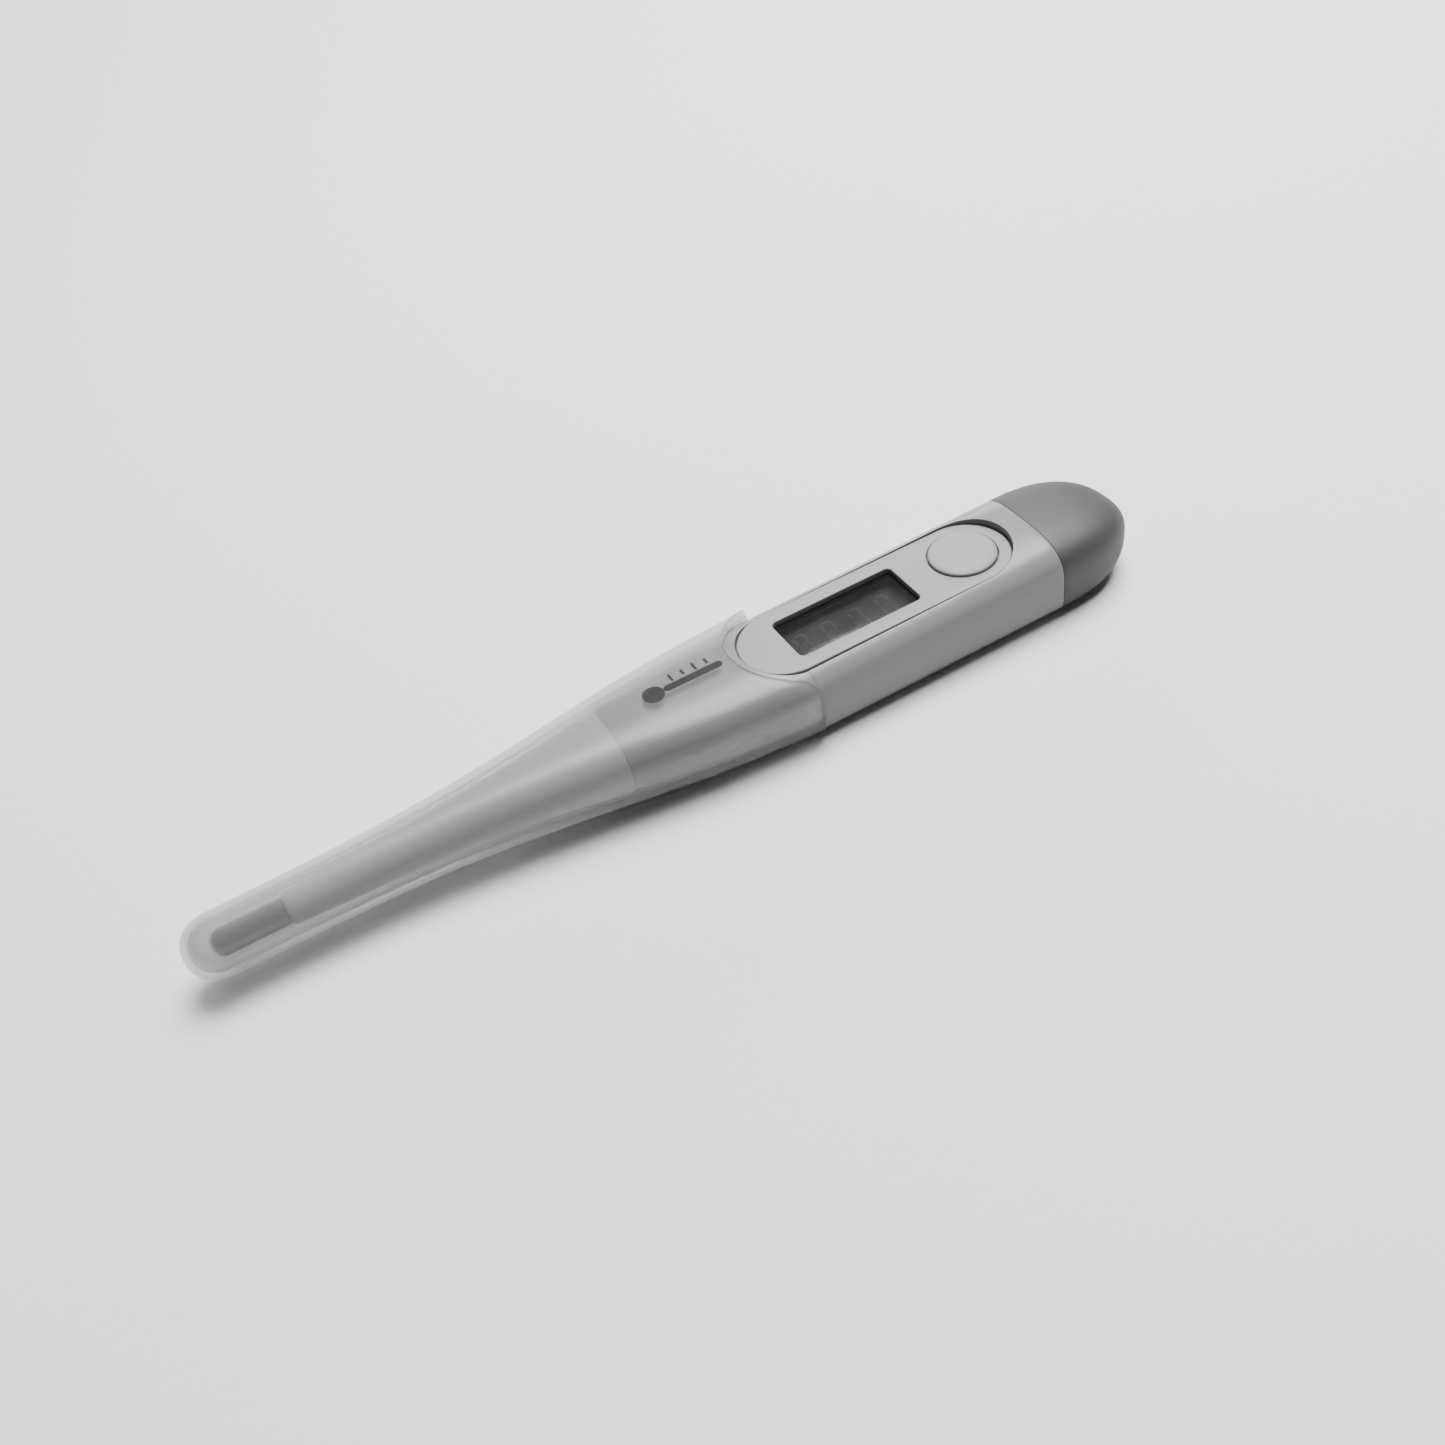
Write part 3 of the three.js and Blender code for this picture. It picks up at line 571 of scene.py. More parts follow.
def mouth(sizes, y, z):
    """Where the cap ends along X: the plane of its mouth, less the scallop and the ears' rounding."""
    end = CAP_HIGH.x
    ear = end
    if z > sizes.ear_height:
        up = min(z - sizes.ear_height, sizes.ear)
        ear = end - sizes.ear + math.sqrt(sizes.ear**2 - up**2)
    below_the_notch = sizes.ear_height - 1 * MM
    if z < below_the_notch or abs(y) >= sizes.scallop:
        return ear
    notch = BEZEL_FRONT + sizes.scallop_shift - math.sqrt(sizes.scallop**2 - y**2)
    blend = 1.0 * MM  # how close the two curves come before they run into each other
    share = max(blend - abs(notch - ear), 0.0) / blend
    return min(notch, ear) - share**2 * blend / 4


def cap_sections():
    """Where the cap's rounded nose begins, and its outer section at any x, from the frame."""
    scallop_free = BEZEL_FRONT - 9 * MM
    nose = CAP_LOW.x + 4.5 * MM
    count = 10  # stations, from the nose to where the notch begins
    squarer = 1.4  # how much squarer the corners are at the mouth
    droop = 0.1 * MM  # of the top, from the notch to the mouth
    landing = 6 * MM  # over which the underside comes down to lie flat
    at = measured("protective_cap", [lerp(nose, scallop_free, k / count) for k in range(count + 1)])
    narrow = at(nose)[0]

    def section(x):
        half, low, high = at(min(x, scallop_free))
        wide = CAP_HIGH.y
        if x > scallop_free:
            share = (x - scallop_free) / (CAP_HIGH.x - scallop_free)
            half = lerp(half, wide, math.sin(smooth(share) * math.pi / 2))
            high = lerp(high, high - droop, share)
        square = 2 + squarer * (half - narrow) / (wide - narrow)
        foot = FOOT * smooth((x - scallop_free) / landing)
        return Section(x, half, low, high, square, foot=foot)

    return nose, section


def cap_skin(bm, sizes, inset, rows_nose=20, rows=70):
    """One skin of the cap, from its nose to its mouth. Returns its open edges."""
    nose, section = cap_sections()
    base = section(nose).inset(inset)
    bluntness = 2.25
    dome = [base] + rounded_end(base, CAP_LOW.x + inset, bluntness, rows_nose)
    total = rows_nose + rows

    def place(u, v):
        angle = 2 * math.pi * u + math.pi / 2
        row = round(v * total)
        if row < rows_nose:
            return dome[rows_nose - row].point(angle)
        end = CAP_HIGH.x
        for _ in range(4):  # the section changes with the end, so the end is found in a few rounds
            point = section(end).point(angle)
            end = mouth(sizes, point.y, point.z)
        x = lerp(nose, end, (row - rows_nose) / rows)
        return section(x).inset(inset).point(angle)

    return wrapped(bm, AROUND, total, place)


class THERMOMETER_OT_cap(bpy.types.Operator):
    """Builds the frosted cap: two skins, joined round the scalloped mouth"""

    bl_idname = "thermometer.cap"
    bl_label = "Protective cap"

    def execute(self, context):
        sizes = context.scene.thermometer_sizes
        bm = bmesh.new()
        outer = cap_skin(bm, sizes, 0.0)
        inner = cap_skin(bm, sizes, sizes.cap_wall)
        bmesh.ops.bridge_loops(bm, edges=outer + inner)
        ease(bm, sharp_edges(bm, 50), sizes.cap_rim)
        finished("cap_shell", bm, LOOKS["cap"], "cap", "frosted_cap", "protective_cap", crease=60)
        return {"FINISHED"}


def pictogram(bm):
    """A flat drawing of a thermometer: a bulb, its stem and four scale marks, about 10 by 3."""
    ring = bmesh.ops.create_circle(bm, cap_ends=True, radius=1.3, segments=32)["verts"]
    bmesh.ops.translate(bm, verts=ring, vec=(-3.6, 0, 0))
    stem = bmesh.ops.create_circle(bm, cap_ends=True, radius=0.5, segments=24)["verts"]
    for vert in stem:
        vert.co.x += math.copysign(3.2, vert.co.x) + 1.4
    for k in range(4):
        mark = bmesh.ops.create_grid(bm, x_segments=1, y_segments=1, size=0.5)["verts"]
        bmesh.ops.scale(bm, verts=mark, vec=(0.32, 0.9 if k % 2 else 1.3, 1))
        bmesh.ops.translate(bm, verts=mark, vec=(-0.8 + 1.5 * k, 1.35, 0))


class THERMOMETER_OT_print(bpy.types.Operator):
    """Prints a small pictogram on top of the cap, as a film that follows its surface"""

    bl_idname = "thermometer.print"
    bl_label = "Printed pictogram"

    def execute(self, context):
        sizes = context.scene.thermometer_sizes
        _, section = cap_sections()
        lift = 0.015 * MM
        film = 0.03 * MM
        bm = bmesh.new()
        pictogram(bm)
        bmesh.ops.subdivide_edges(bm, edges=bm.edges, cuts=1, use_grid_fill=True)
        bmesh.ops.triangulate(bm, faces=bm.faces)
        bmesh.ops.scale(bm, verts=bm.verts, vec=(sizes.print_scale,) * 3)
        bmesh.ops.translate(bm, verts=bm.verts, vec=(BEZEL_FRONT - sizes.print_back, 0, 0))
        for vert in bm.verts:
            cut = section(vert.co.x)
            vert.co.z = cut.point(cut.edge_angle(abs(vert.co.y))).z + lift
        thickened(bm, film)
        finished("cap_pictogram", bm, LOOKS["ink"], "cap", "black")
        return {"FINISHED"}


# ---------------------------------------------------------------- housing


def slotted_stations(front, rear, arcs, radius, before, between, after, turns=24):
    """(x, half width of the slot) along a skin with a round-ended slot in its top."""
    first, last = arcs
    rows = [(lerp(front, first - radius, k / before), 0.0) for k in range(before)]
    rows += [(first - radius * math.cos(t), radius * math.sin(t)) for t in quarter(turns)]
    rows += [(lerp(first, last, k / between), radius) for k in range(1, between)]
    rows += [(last + radius * math.sin(t), radius * math.cos(t)) for t in quarter(turns)]
    rows += [(lerp(last + radius, rear, k / after), 0.0) for k in range(1, after + 1)]
    return rows


def slotted_skin(bm, rows, section):
    """A skin round the sections at those rows, open at the slot. Returns its slot and end loops."""
    last = len(rows) - 1

    def place(u, v):
        x, slot = rows[round(v * last)]
        cut = section(x)
        start = cut.edge_angle(slot)
        return cut.point(start - u * (math.pi + 2 * start))

    edges = wrapped(bm, AROUND, last, place)
    ends = (rows[0][0], rows[-1][0])

    def at_end(edge):
        return any(all(abs(v.co.x - x) < MERGE for v in edge.verts) for x in ends)

    slot_edges = [e for e in edges if not at_end(e)]
    front = [e for e in edges if at_end(e) and abs(e.verts[0].co.x - ends[0]) < MERGE]
    rear = [e for e in edges if at_end(e) and abs(e.verts[0].co.x - ends[1]) < MERGE]
    return slot_edges, front, rear


def drawn_loop(bm, edges, place):
    """Extrudes a loop of edges and puts the new loop in place. Returns the new edges."""
    made = bmesh.ops.extrude_edge_only(bm, edges=edges)["geom"]
    new_verts = {g for g in made if isinstance(g, bmesh.types.BMVert)}
    for vert in new_verts:
        vert.co = place(vert.co)
    return [g for g in made if isinstance(g, bmesh.types.BMEdge) and set(g.verts) <= new_verts]


def round_the_axis(edges):
    """The vertices of a loop that goes once round the body, in order from just before its top."""
    middle = HOUSING_HIGH.z / 2
    start = 0.01  # keeps the top and the bottom vertex away from where the angle wraps

    def turn(vert):
        return (math.atan2(vert.co.y, vert.co.z - middle) + start) % (2 * math.pi)

    return sorted({v for e in edges for v in e.verts}, key=turn)


def housing_section(sizes):
    """The housing's outer section: the cap's, less its step, and the full body behind the mouth."""
    _, cap_section = cap_sections()
    step = CAP_HIGH.x + 0.3 * MM

    def section(x):
        if x < step:
            under = cap_section(min(x, CAP_HIGH.x)).inset(sizes.cap_step)
            under.high = min(under.high, sizes.crown)
            under.square = min(under.square, BODY_SQUARE)
            under.foot = 0.0
            return under.moved(x)
        share = (x - step) / (SEAM - step)
        crown = lerp(sizes.crown, HOUSING_HIGH.z, share)
        return Section(x, HOUSING_HIGH.y, 0.0, crown, BODY_SQUARE, BODY_BELOW, FOOT)

    return step, section


def chamber_section(sizes, step):
    """The section of the housing's hollow, which is narrower and thicker-floored under the cap."""
    narrow, wide = 6.0 * MM, 7.8 * MM
    widens_from, widens_over = -8 * MM, 16 * MM
    floor, floor_under_cap = 1 * MM, 2 * MM

    def section(x):
        low = floor if x > step else floor_under_cap
        half = lerp(narrow, wide, smooth((x - widens_from) / widens_over))
        return Section(x, half, low, sizes.roof, CHAMBER_SQUARE)

    return section


class THERMOMETER_OT_housing(bpy.types.Operator):
    """Builds the one-piece housing: outer skin, display pocket, hollow chamber and open rear mouth"""

    bl_idname = "thermometer.housing"
    bl_label = "Housing"

    def execute(self, context):
        sizes = context.scene.thermometer_sizes
        bm = bmesh.new()
        step, section = housing_section(sizes)
        radius = BEZEL_RADIUS + sizes.pocket_gap
        opening = BEZEL_RADIUS - 0.8 * MM  # what the ledge leaves open
        arcs = (BEZEL_FRONT, BEZEL_REAR)
        rows = slotted_stations(HOUSING_LOW.x, SEAM, arcs, radius, before=16, between=22, after=4)
        behind = next(k for k, row in enumerate(rows) if row[0] > step)
        slot_at = math.sqrt(max(radius**2 - (BEZEL_FRONT - step) ** 2, 0.0))
        rows[behind:behind] = [(step - 0.01 * MM, slot_at), (step, slot_at)]
        slot, front, rear = slotted_skin(bm, rows, section)

        def on_ledge(point):
            axis = Vector((min(max(point.x, BEZEL_FRONT), BEZEL_REAR), 0, point.z))
            return axis + (point - axis).normalized() * opening

        wall = drawn_loop(bm, slot, lambda p: Vector((p.x, p.y, LEDGE)))
        lip = drawn_loop(bm, wall, on_ledge)

        inner_front = HOUSING_LOW.x + 9 * MM
        inner_rows = slotted_stations(inner_front, SEAM, arcs, opening, before=8, between=22, after=4)
        roof_slot, inner_end, inner_rear = slotted_skin(bm, inner_rows, chamber_section(sizes, step))
        bmesh.ops.bridge_loops(bm, edges=lip + roof_slot)

        opposite = {
            outer.co.copy().freeze(): inner.co.copy()
            for outer, inner in zip(round_the_axis(rear), round_the_axis(inner_rear))
        }
        drawn_loop(bm, rear, lambda p: opposite[p.copy().freeze()])
        bmesh.ops.remove_doubles(bm, verts=bm.verts, dist=MERGE)
        for loop in (front, inner_end):
            bmesh.ops.contextual_create(bm, geom=loop)

        above = LEDGE + 0.1 * MM
        top = [e for e in sharp_edges(bm, 50) if min(v.co.z for v in e.verts) > above]
        rim = [e for e in top if SEAM - e.verts[0].co.x > MERGE]
        ease(bm, rim, sizes.pocket_rim, segments=4)
        mouth_edges = sharp_edges(bm, 50, lambda e: all(SEAM - v.co.x < MERGE for v in e.verts))
        ease(bm, mouth_edges, sizes.seam_edge)
        finished("housing_shell", bm, LOOKS["shell"], "housing", "shell_white", "housing")
        return {"FINISHED"}


# ---------------------------------------------------------------- probe and sensing tip


class THERMOMETER_OT_probe(bpy.types.Operator):
    """Builds the probe shaft, the steel sheath on its tip and what is potted inside"""

    bl_idname = "thermometer.probe"
    bl_label = "Probe and tip"

    def execute(self, context):
        gap = 0.1 * MM  # to the sheath in front and the housing behind
        inset = 0.2 * MM  # of the first and last station from the shaft's ends
        front = SHEATH_HIGH.x + gap
        rear = HOUSING_LOW.x - gap
        count = 8
        stations = [lerp(front + inset, rear - inset, k / count) for k in range(count + 1)]
        at = measured("probe_shaft", stations)
        narrow = 2 * MM
        widest = at(stations[-1])[0]

        def section(x):
            half, low, high = at(x)
            square = 2 + 0.6 * (half - narrow) / (widest - narrow)
            return Section(x, half, low, high, square)

        first = section(front)
        last = section(rear)
        nipple = (SHEATH_HIGH.y - 0.4 * MM) / first.half  # the part that the sheath fits over
        nipple_end = front - 2 * MM
        neck = [first.shrunk(0, nipple_end), first.shrunk(nipple, nipple_end)]
        neck += [first.shrunk(nipple, front), first.shrunk(0.86, front)]
        neck += [first.shrunk(0.95, front + 0.06 * MM)]
        rows = 40
        shaft = [section(lerp(front + inset, rear, k / rows)) for k in range(rows + 1)]
        end = rear + 0.05 * MM
        tail = [last.shrunk(0.96, end), last.shrunk(0, end)]
        bm = bmesh.new()
        strung(bm, neck + shaft + tail)
        finished("probe_shell", bm, LOOKS["probe"], "housing", "probe_white", "probe_shaft")

        radius = SHEATH_HIGH.y
        nose = 1.5 * MM
        wall = 0.25 * MM
        edge = 0.05 * MM
        bore = radius - wall
        back = SHEATH_LOW.x + nose
        turns = quarter(10)
        outside = [(radius * math.sin(t), SHEATH_LOW.x + nose * (1 - math.cos(t))) for t in turns]
        inside = [(bore * math.cos(t), back - (nose - wall) * math.sin(t)) for t in turns]
        lip = [(radius, SHEATH_HIGH.x - edge), (radius - edge, SHEATH_HIGH.x), (bore, SHEATH_HIGH.x)]
        sheath = turned(outside + lip + inside, "X", Vector((0, 0, TIP_Z)))
        finished("tip_shell", sheath, LOOKS["steel"], "housing", "steel", "tip_sheath")

        softened("tip_epoxy", "tip_potting", LOOKS["black"], "housing", "black", 0.1 * MM)
        bead_low, bead_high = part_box("thermistor_bead")
        bead = bmesh.new()
        size = (bead_high - bead_low) / 2
        placed = Matrix.Translation((bead_low + bead_high) / 2) @ Matrix.Diagonal((*size, 1))
        bmesh.ops.create_icosphere(bead, subdivisions=4, radius=1.0, matrix=placed)
        finished("sensor_bead", bead, LOOKS["black"], "housing", "black", "thermistor_bead")
        return {"FINISHED"}


class THERMOMETER_OT_leads(bpy.types.Operator):
    """Builds the two lacquered leads from bead to board"""

    bl_idname = "thermometer.leads"
    bl_label = "Sensor leads"

    def execute(self, context):
        board_low, board_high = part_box("circuit_board")
        wire_radius = 0.19 * MM
        for node, side in (("sensor_lead_a", 1), ("sensor_lead_b", -1)):
            low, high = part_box(node)
            y = side * 0.4 * MM
            end = Vector((board_low.x + 0.6 * MM, 4 * y, board_high.z + 0.45 * MM))
            route = [
                Vector((low.x, y, TIP_Z)),
                Vector((-41 * MM, y, TIP_Z)),
                Vector((-13 * MM, y, TIP_Z)),
                Vector((-5 * MM, 1.6 * y, TIP_Z - 0.1 * MM)),
                Vector((1.3 * MM, 3 * y, TIP_Z - 0.25 * MM)),
                end,
            ]
            curve = bpy.data.curves.new(node, "CURVE")
            curve.dimensions = "3D"
            curve.bevel_depth = wire_radius
            curve.bevel_resolution = 3
            curve.resolution_u = 10
            curve.use_fill_caps = True
            spline = curve.splines.new("BEZIER")
            spline.bezier_points.add(len(route) - 1)
            for knot, place in zip(spline.bezier_points, route):
                knot.co = place
                knot.handle_left_type = knot.handle_right_type = "AUTO"
            line = bpy.data.objects.new(node + "_line", curve)
            context.scene.collection.objects.link(line)
            context.view_layer.update()
            graph = context.evaluated_depsgraph_get()
            swept = bpy.data.meshes.new_from_object(line.evaluated_get(graph))
            bpy.data.objects.remove(line)
            bm = bmesh.new()
            bm.from_mesh(swept)
            bmesh.ops.remove_doubles(bm, verts=bm.verts, dist=MERGE / 4)
            name = "lead_wire_a" if side > 0 else "lead_wire_b"
            piece = finished(name, bm, LOOKS["lead"], None, "lead_red", node)
            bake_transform(piece)
        return {"FINISHED"}


# ---------------------------------------------------------------- display face


class THERMOMETER_OT_face(bpy.types.Operator):
    """Builds the matte display face, its smoked window and the round push button"""

    bl_idname = "thermometer.face"
    bl_label = "Display face"

    def execute(self, context):
        sizes = context.scene.thermometer_sizes
        border = 0.8 * MM
        overlap = Vector((border, border - 0.1 * MM, 0))  # of the face over the window's edges
        window_low, window_high = LENS_LOW + overlap, LENS_HIGH - overlap
        corner = 0.8 * MM
        half = (window_high - window_low) / 2
        window = (corner, half.x - corner, half.y - corner, (window_low.x + window_high.x) / 2)
        bore = (sizes.button_radius + 0.18 * MM, 0.0, 0.0, BUTTON_X)
        shave = Vector((0.07 * MM, 0.07 * MM, 0))
        face = moulded_slab(
            BEZEL_LOW + shave, BEZEL_HIGH - shave, BEZEL_RADIUS - shave.x, sizes.moulded_edge,
            holes=(window, bore),
        )
        finished("display_face", face, LOOKS["face"], "housing", "bezel_grey", "display_bezel")
        lens = moulded_slab(LENS_LOW, LENS_HIGH, corner=0.6 * MM, edge=0.08 * MM)
        finished("display_window", lens, LOOKS["lens"], "housing", "lens_clear", "display_lens")

        radius = sizes.button_radius
        dome = 0.35 * MM
        shoulder = BUTTON_HIGH.z - dome
        rise = [k / 12 for k in range(13)]
        top = [(radius * 0.9 * (1 - r), shoulder + dome * (1 - (1 - r) ** 2)) for r in reversed(rise)]
        edge = sizes.button_edge
        roll = [
            (radius - edge + edge * math.sin(t), shoulder - 0.02 * MM - edge * 0.6 * (1 - math.cos(t)))
            for t in quarter(8)[1:]
        ]
        flange_radius = BUTTON_HIGH.x - BUTTON_X
        flange_low = LEDGE - 0.5 * MM
        stem = 1.2 * MM
        foot = [(radius, LEDGE), (flange_radius, LEDGE), (flange_radius, flange_low)]
        foot += [(stem, flange_low), (stem, BUTTON_LOW.z), (0.0, BUTTON_LOW.z)]
        button = turned(top + roll + foot, "Z", Vector((BUTTON_X, 0, 0)))
        finished("push_button", button, LOOKS["button"], "button", "button_grey", "power_button")
        return {"FINISHED"}


# ---------------------------------------------------------------- display and electronics


# Each bar of a digit: its place in half widths and half heights, and whether it stands upright.
LEVEL_BARS = [(0, y, False) for y in (1, 0, -1)]
UPRIGHT_BARS = [(x, y, True) for x in (-1, 1) for y in (0.5, -0.5)]


class THERMOMETER_OT_display(bpy.types.Operator):
    """Builds the liquid-crystal glasses, their frame, the conductive strip and the digits"""

    bl_idname = "thermometer.display"
    bl_label = "Display"

    def execute(self, context):
        sizes = context.scene.thermometer_sizes
        for node, name in (("lcd_front_glass", "lcd_upper_glass"), ("lcd_rear_glass", "lcd_lower_glass")):
            glass = moulded_slab(*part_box(node), corner=0.15 * MM, edge=0.06 * MM)
            finished(name, glass, LOOKS["lcd"], "carrier", "lcd_glass", node)
        softened("display_frame", "display_clamp", LOOKS["black"], "carrier", "black", 0.12 * MM)
        softened("zebra_connector", "conductive_strip", LOOKS["seal"], "carrier", "seal_rubber", 0.08 * MM)

        bm = bmesh.new()
        height = sizes.digit
        bar = height / 2 * 0.86
        width = bar * 0.9
        thick = 0.26 * MM
        middle_y = (LCD_LOW.y + LCD_HIGH.y) / 2 + 1.1 * MM
        first = LENS_LOW.x + 3.6 * MM
        pitch = 4.1 * MM
        quarter_turn = Matrix.Rotation(math.pi / 2, 3, "Z")
        for digit in range(4):
            for x, y, upright in LEVEL_BARS + UPRIGHT_BARS:
                across = first + digit * pitch + x * width / 2
                made = bmesh.ops.create_circle(bm, cap_ends=True, radius=thick, segments=6)["verts"]
                for vert in made:
                    vert.co.x += math.copysign(bar / 2 - 0.3 * MM, vert.co.x)
                if upright:
                    bmesh.ops.rotate(bm, verts=made, cent=(0, 0, 0), matrix=quarter_turn)
                place = (across, middle_y + y * height / 2, LCD_HIGH.z)
                bmesh.ops.translate(bm, verts=made, vec=place)
        thickened(bm, 0.02 * MM)
        finished("lcd_digits", bm, LOOKS["segments"], "carrier", "lcd_glass")
        return {"FINISHED"}


class THERMOMETER_OT_electronics(bpy.types.Operator):
    """Rounds the board's parts: chips, potting, tact switch and the buzzer disc"""

    bl_idname = "thermometer.electronics"
    bl_label = "Electronics"

    def execute(self, context):
        parts = (
            ("circuit_board", "main_board", "board", "board_green", 0.08),
            ("controller_blob", "controller_potting", "black", "black", 0.1),
            ("chip_capacitor_1", "capacitor_1", "chip", "chip_tan", 0.08),
            ("chip_capacitor_2", "capacitor_2", "chip", "chip_tan", 0.08),
            ("chip_resistor_1", "resistor_1", "black", "black", 0.06),
            ("chip_resistor_2", "resistor_2", "black", "black", 0.06),
            ("switch_base", "tact_switch", "black", "black", 0.15),
            ("switch_stem", "tact_stem", "inner", "carrier_white", 0.15),
            ("buzzer_plate", "buzzer_disc", "brass", "brass", 0.04),
            ("buzzer_ceramic", "buzzer_element", "ceramic", "ceramic", 0.04),
        )
        for node, name, look, slot, width in parts:
            softened(node, name, LOOKS[look], "carrier", slot, width * MM)
        return {"FINISHED"}


# ---------------------------------------------------------------- battery end


class THERMOMETER_OT_battery(bpy.types.Operator):
    """Builds the sliding carrier, the button cell and its two spring contacts"""

    bl_idname = "thermometer.battery"
    bl_label = "Battery and carrier"

    def execute(self, context):
        softened("carrier_frame", "inner_carrier", LOOKS["inner"], "carrier", "carrier_white", 0.15 * MM)
        for pole, name in (("negative", "contact_blade"), ("positive", "contact_side")):
            node = "battery_contact_" + pole
            softened(node, name, LOOKS["spring"], "carrier", "steel", 0.04 * MM)
        radius = CELL_HIGH.y
        low, high = CELL_LOW.z, CELL_HIGH.z
        can_rim = high - 0.35 * MM
        gasket = high - 0.55 * MM  # the groove between the can and its cap
        outside = [(0.0, low), (radius, low), (radius, can_rim), (radius - 0.6 * MM, can_rim)]
        outside += [(radius - 0.75 * MM, gasket), (radius - 0.95 * MM, high), (0.0, high)]
        centre = Vector(((CELL_LOW.x + CELL_HIGH.x) / 2, 0, 0))
        cell = turned(rounded_profile(outside, 0.25 * MM), "Z", centre)
        finished("button_cell", cell, LOOKS["cell"], "carrier", "steel", "battery_cell")
        return {"FINISHED"}


class THERMOMETER_OT_cover(bpy.types.Operator):
    """Builds the rounded battery cover with its spigot, and the seal round it"""

    bl_idname = "thermometer.cover"
    bl_label = "Battery cover"

    def execute(self, context):
        sizes = context.scene.thermometer_sizes
        start = SEAM + CLEARANCE
        base = Section(start, COVER_HIGH.y, 0.0, COVER_HIGH.z, BODY_SQUARE, BODY_BELOW, FOOT)
        plug_half = 7.6 * MM
        plug_low = 1.2 * MM
        plug = Section(COVER_LOW.x, plug_half, plug_low, sizes.roof - 0.2 * MM, CHAMBER_SQUARE)
        chamfer = 0.15 * MM
        shoulder = base.moved(start + 1.2 * MM)
        edge = sizes.seam_edge
        rim = [
            base.inset(edge),
            base.inset(edge * 0.3).moved(start + edge * 0.3),
            base.moved(start + edge),
        ]
        nose = rounded_end(shoulder, COVER_HIGH.x, 2.3, 34)
        groove = plug.inset(0.35 * MM)
        groove_front = SEAL_LOW.x - CLEARANCE
        groove_rear = SEAL_HIGH.x + CLEARANCE
        spigot = [
            plug.inset(chamfer),
            plug.moved(plug.x + chamfer),
            plug.moved(groove_front),
            groove.moved(groove_front),
            groove.moved(groove_rear),
            plug.moved(groove_rear),
            plug.moved(start),
        ]
        bore = plug.inset(0.8 * MM)
        hollow_base = shoulder.inset(sizes.cover_wall).moved(start + 0.9 * MM)
        hollow = [bore.moved(plug.x + 0.02 * MM), bore.moved(start + 0.8 * MM), hollow_base]
        hollow += rounded_end(hollow_base, COVER_HIGH.x - sizes.cover_wall, 2.6, 16)
        bm = bmesh.new()
        strung(bm, [*reversed(nose), shoulder, *reversed(rim), *reversed(spigot), *hollow])
        finished("rear_cover", bm, LOOKS["cover"], "cover", "cover_grey", "battery_cover")

        middle = (SEAL_LOW.x + SEAL_HIGH.x) / 2
        width = (SEAL_HIGH.x - SEAL_LOW.x) / 2
        proud = SEAL_HIGH.y - plug.half
        sunk = 0.1 * MM
        ring = []
        for turn in [k / 8 * math.pi for k in range(9)]:
            lip = plug.inset(sunk - (proud + sunk) * math.sin(turn))
            ring.append(lip.moved(middle - width * math.cos(turn)))
        under = plug.inset(0.3 * MM)
        ring += [under.moved(SEAL_HIGH.x), under.moved(SEAL_LOW.x), ring[0]]
        seal = bmesh.new()
        strung(seal, ring)
        finished("seal_ring", seal, LOOKS["seal"], "cover", "seal_rubber", "cover_seal")
        return {"FINISHED"}


# ---------------------------------------------------------------- studio


SENSOR_WIDTH = 36.0  # millimetres
NEAREST = 0.005  # the closest that the camera draws, in metres
FLOOR_SIZE = 3.0
FLOOR_DROP = 0.05 * MM  # how far the floor lies below the frame's lowest plane
SKY_STRENGTH = 0.07
LIGHTS = {  # place and size in metres, and power in watts
    "key": ((0.2, 0.12, 0.6), (0.42, 0.42), 14.0),
    "rim": ((0.2, 0.62, 0.17), (0.6, 0.14), 2.6),
}


def soft_light(name, place, size, power):
    """A rectangular lamp that points at the frame's origin."""
    light = bpy.data.lights.new(name, "AREA")
    light.shape = "RECTANGLE"
    light.size, light.size_y = size
    light.energy = power
    lamp = bpy.data.objects.new(name, light)
    lamp.location = place
    lamp.rotation_euler = (-Vector(place)).to_track_quat("-Z", "Y").to_euler()
    bpy.context.scene.collection.objects.link(lamp)


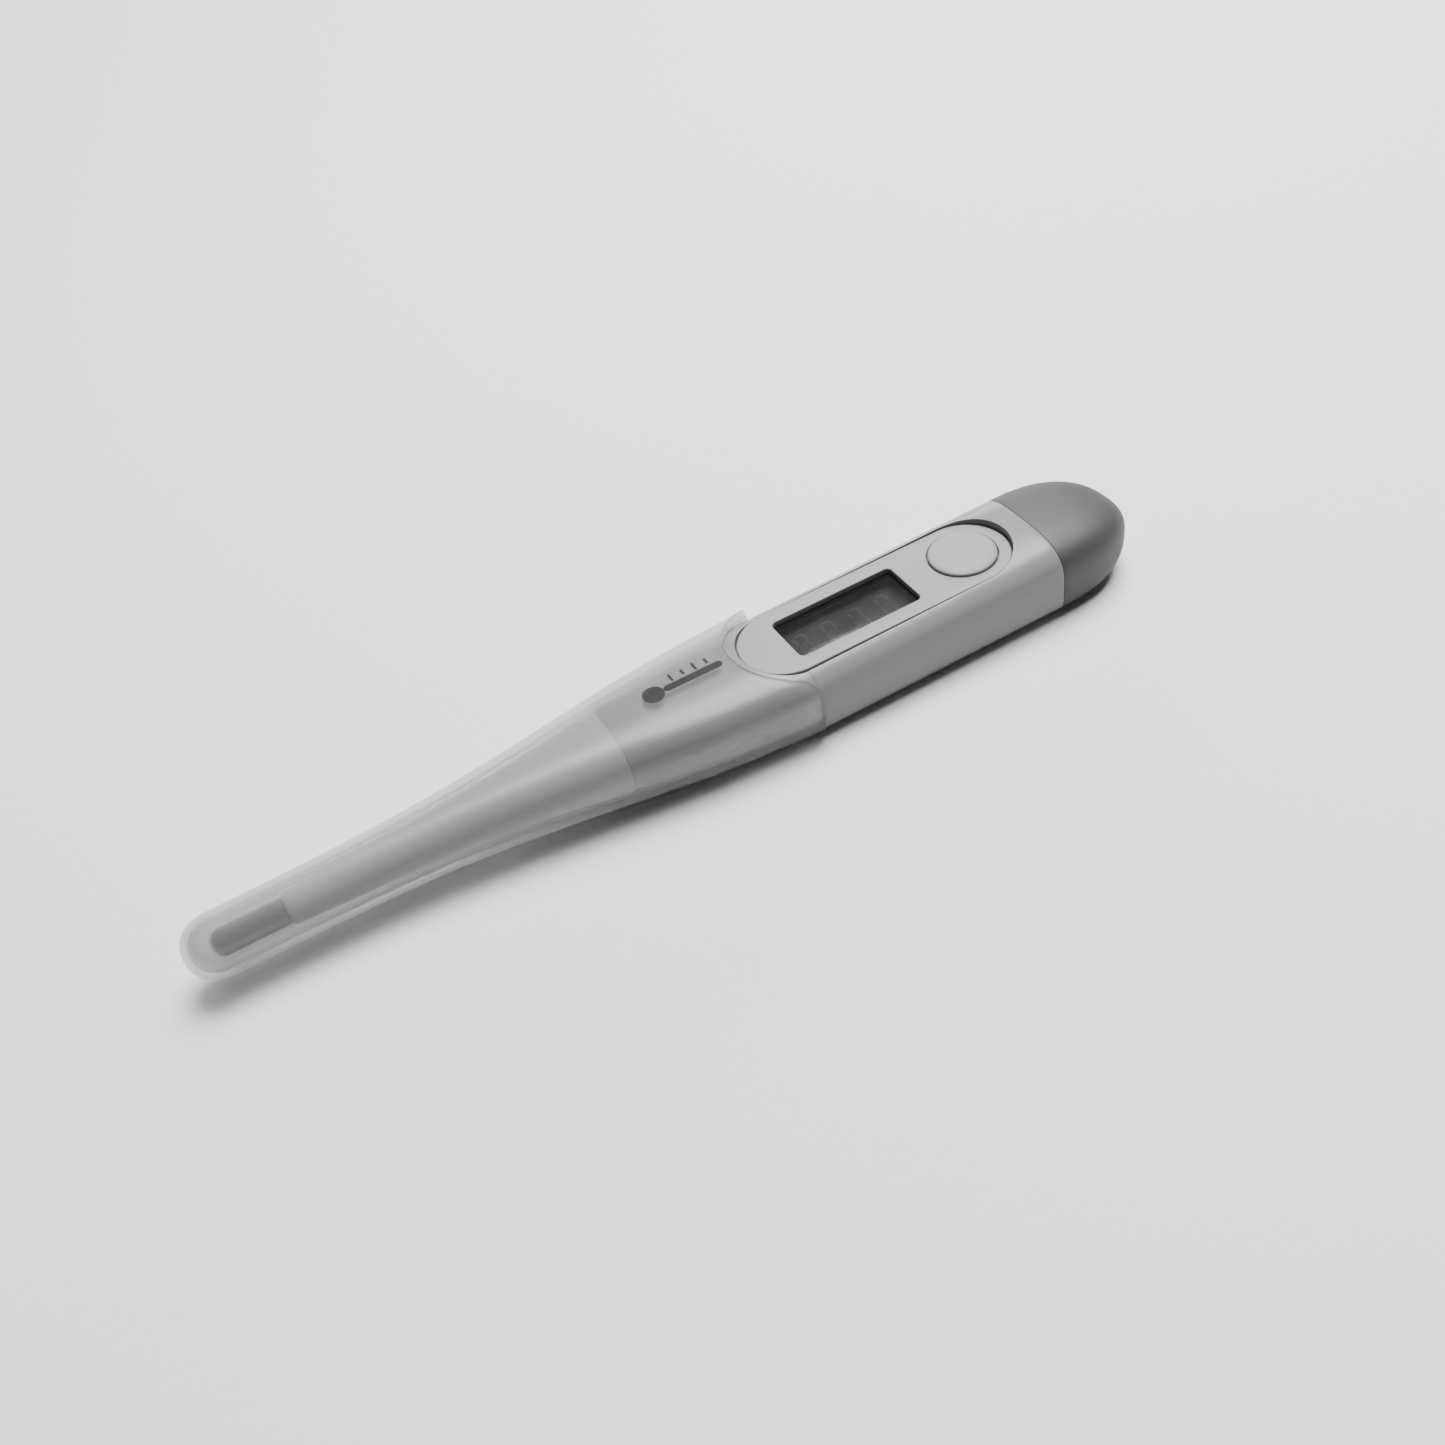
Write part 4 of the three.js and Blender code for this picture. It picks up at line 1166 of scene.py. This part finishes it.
class THERMOMETER_OT_stage(bpy.types.Operator):
    """Sets the camera, the pale floor and the soft studio light"""

    bl_idname = "thermometer.stage"
    bl_label = "Studio"

    def execute(self, context):
        scene = context.scene
        studio = scene.thermometer_studio
        aim = Vector(studio.aim)
        level = math.cos(studio.elevation)
        back_x = math.sin(studio.azimuth) * level
        back_y = -math.cos(studio.azimuth) * level
        back = Vector((back_x, back_y, math.sin(studio.elevation)))
        data = bpy.data.cameras.new("studio_camera")
        data.sensor_width = SENSOR_WIDTH
        data.lens = studio.lens
        data.clip_start = NEAREST
        camera = bpy.data.objects.new("studio_camera", data)
        turn = (-back).to_track_quat("-Z", "Y").to_matrix() @ Matrix.Rotation(studio.roll, 3, "Z")
        camera.matrix_world = Matrix.Translation(aim + back * studio.distance) @ turn.to_4x4()
        scene.collection.objects.link(camera)
        scene.camera = camera

        bm = bmesh.new()
        bmesh.ops.create_grid(bm, x_segments=1, y_segments=1, size=FLOOR_SIZE)
        bmesh.ops.translate(bm, verts=bm.verts, vec=(0, 0, -FLOOR_DROP))
        mesh = bpy.data.meshes.new("floor")
        bm.to_mesh(mesh)
        bm.free()
        paper = Look("studio_floor", scene.thermometer_colours.floor, 0.9, Specular_IOR_Level=0.0)
        paper.gloss(paper.noise(20 * MM), 0.85, 0.95)
        mesh.materials.append(paper.material)
        floor = bpy.data.objects.new("floor", mesh)
        scene.collection.objects.link(floor)

        world = bpy.data.worlds.new("studio_sky")
        world.use_nodes = True
        sky = world.node_tree.nodes["Background"]
        sky.inputs["Color"].default_value = (1.0, 1.0, 1.0, 1.0)
        sky.inputs["Strength"].default_value = SKY_STRENGTH
        scene.world = world
        for name, (place, size, power) in LIGHTS.items():
            soft_light(name, place, size, power)
        return {"FINISHED"}


# ---------------------------------------------------------------- add-on


OPERATORS = (
    THERMOMETER_OT_stage,
    THERMOMETER_OT_cap,
    THERMOMETER_OT_print,
    THERMOMETER_OT_housing,
    THERMOMETER_OT_probe,
    THERMOMETER_OT_leads,
    THERMOMETER_OT_face,
    THERMOMETER_OT_display,
    THERMOMETER_OT_electronics,
    THERMOMETER_OT_battery,
    THERMOMETER_OT_cover,
)


class THERMOMETER_PT_panel(bpy.types.Panel):
    bl_label = "Stick thermometer"
    bl_idname = "THERMOMETER_PT_panel"
    bl_space_type = "VIEW_3D"
    bl_region_type = "UI"
    bl_category = "Thermometer"

    def draw(self, context):
        for operator in OPERATORS:
            self.layout.operator(operator.bl_idname)
        for group in ("thermometer_sizes", "thermometer_colours", "thermometer_studio"):
            settings = getattr(context.scene, group)
            box = self.layout.box()
            for name in settings.__annotations__:
                box.prop(settings, name)


GROUPS = {
    "thermometer_sizes": ThermometerSizes,
    "thermometer_colours": ThermometerColours,
    "thermometer_studio": StudioSettings,
}


def register():
    for cls in (*GROUPS.values(), *OPERATORS, THERMOMETER_PT_panel):
        bpy.utils.register_class(cls)
    for name, group in GROUPS.items():
        setattr(bpy.types.Scene, name, bpy.props.PointerProperty(type=group))


def unregister():
    for name in GROUPS:
        delattr(bpy.types.Scene, name)
    for cls in (THERMOMETER_PT_panel, *reversed(OPERATORS), *reversed(GROUPS.values())):
        bpy.utils.unregister_class(cls)


def main():
    register()
    make_looks(bpy.context.scene.thermometer_colours)
    for operator in OPERATORS:
        group, name = operator.bl_idname.split(".")
        getattr(getattr(bpy.ops, group), name)()


if __name__ == "__main__":
    main()
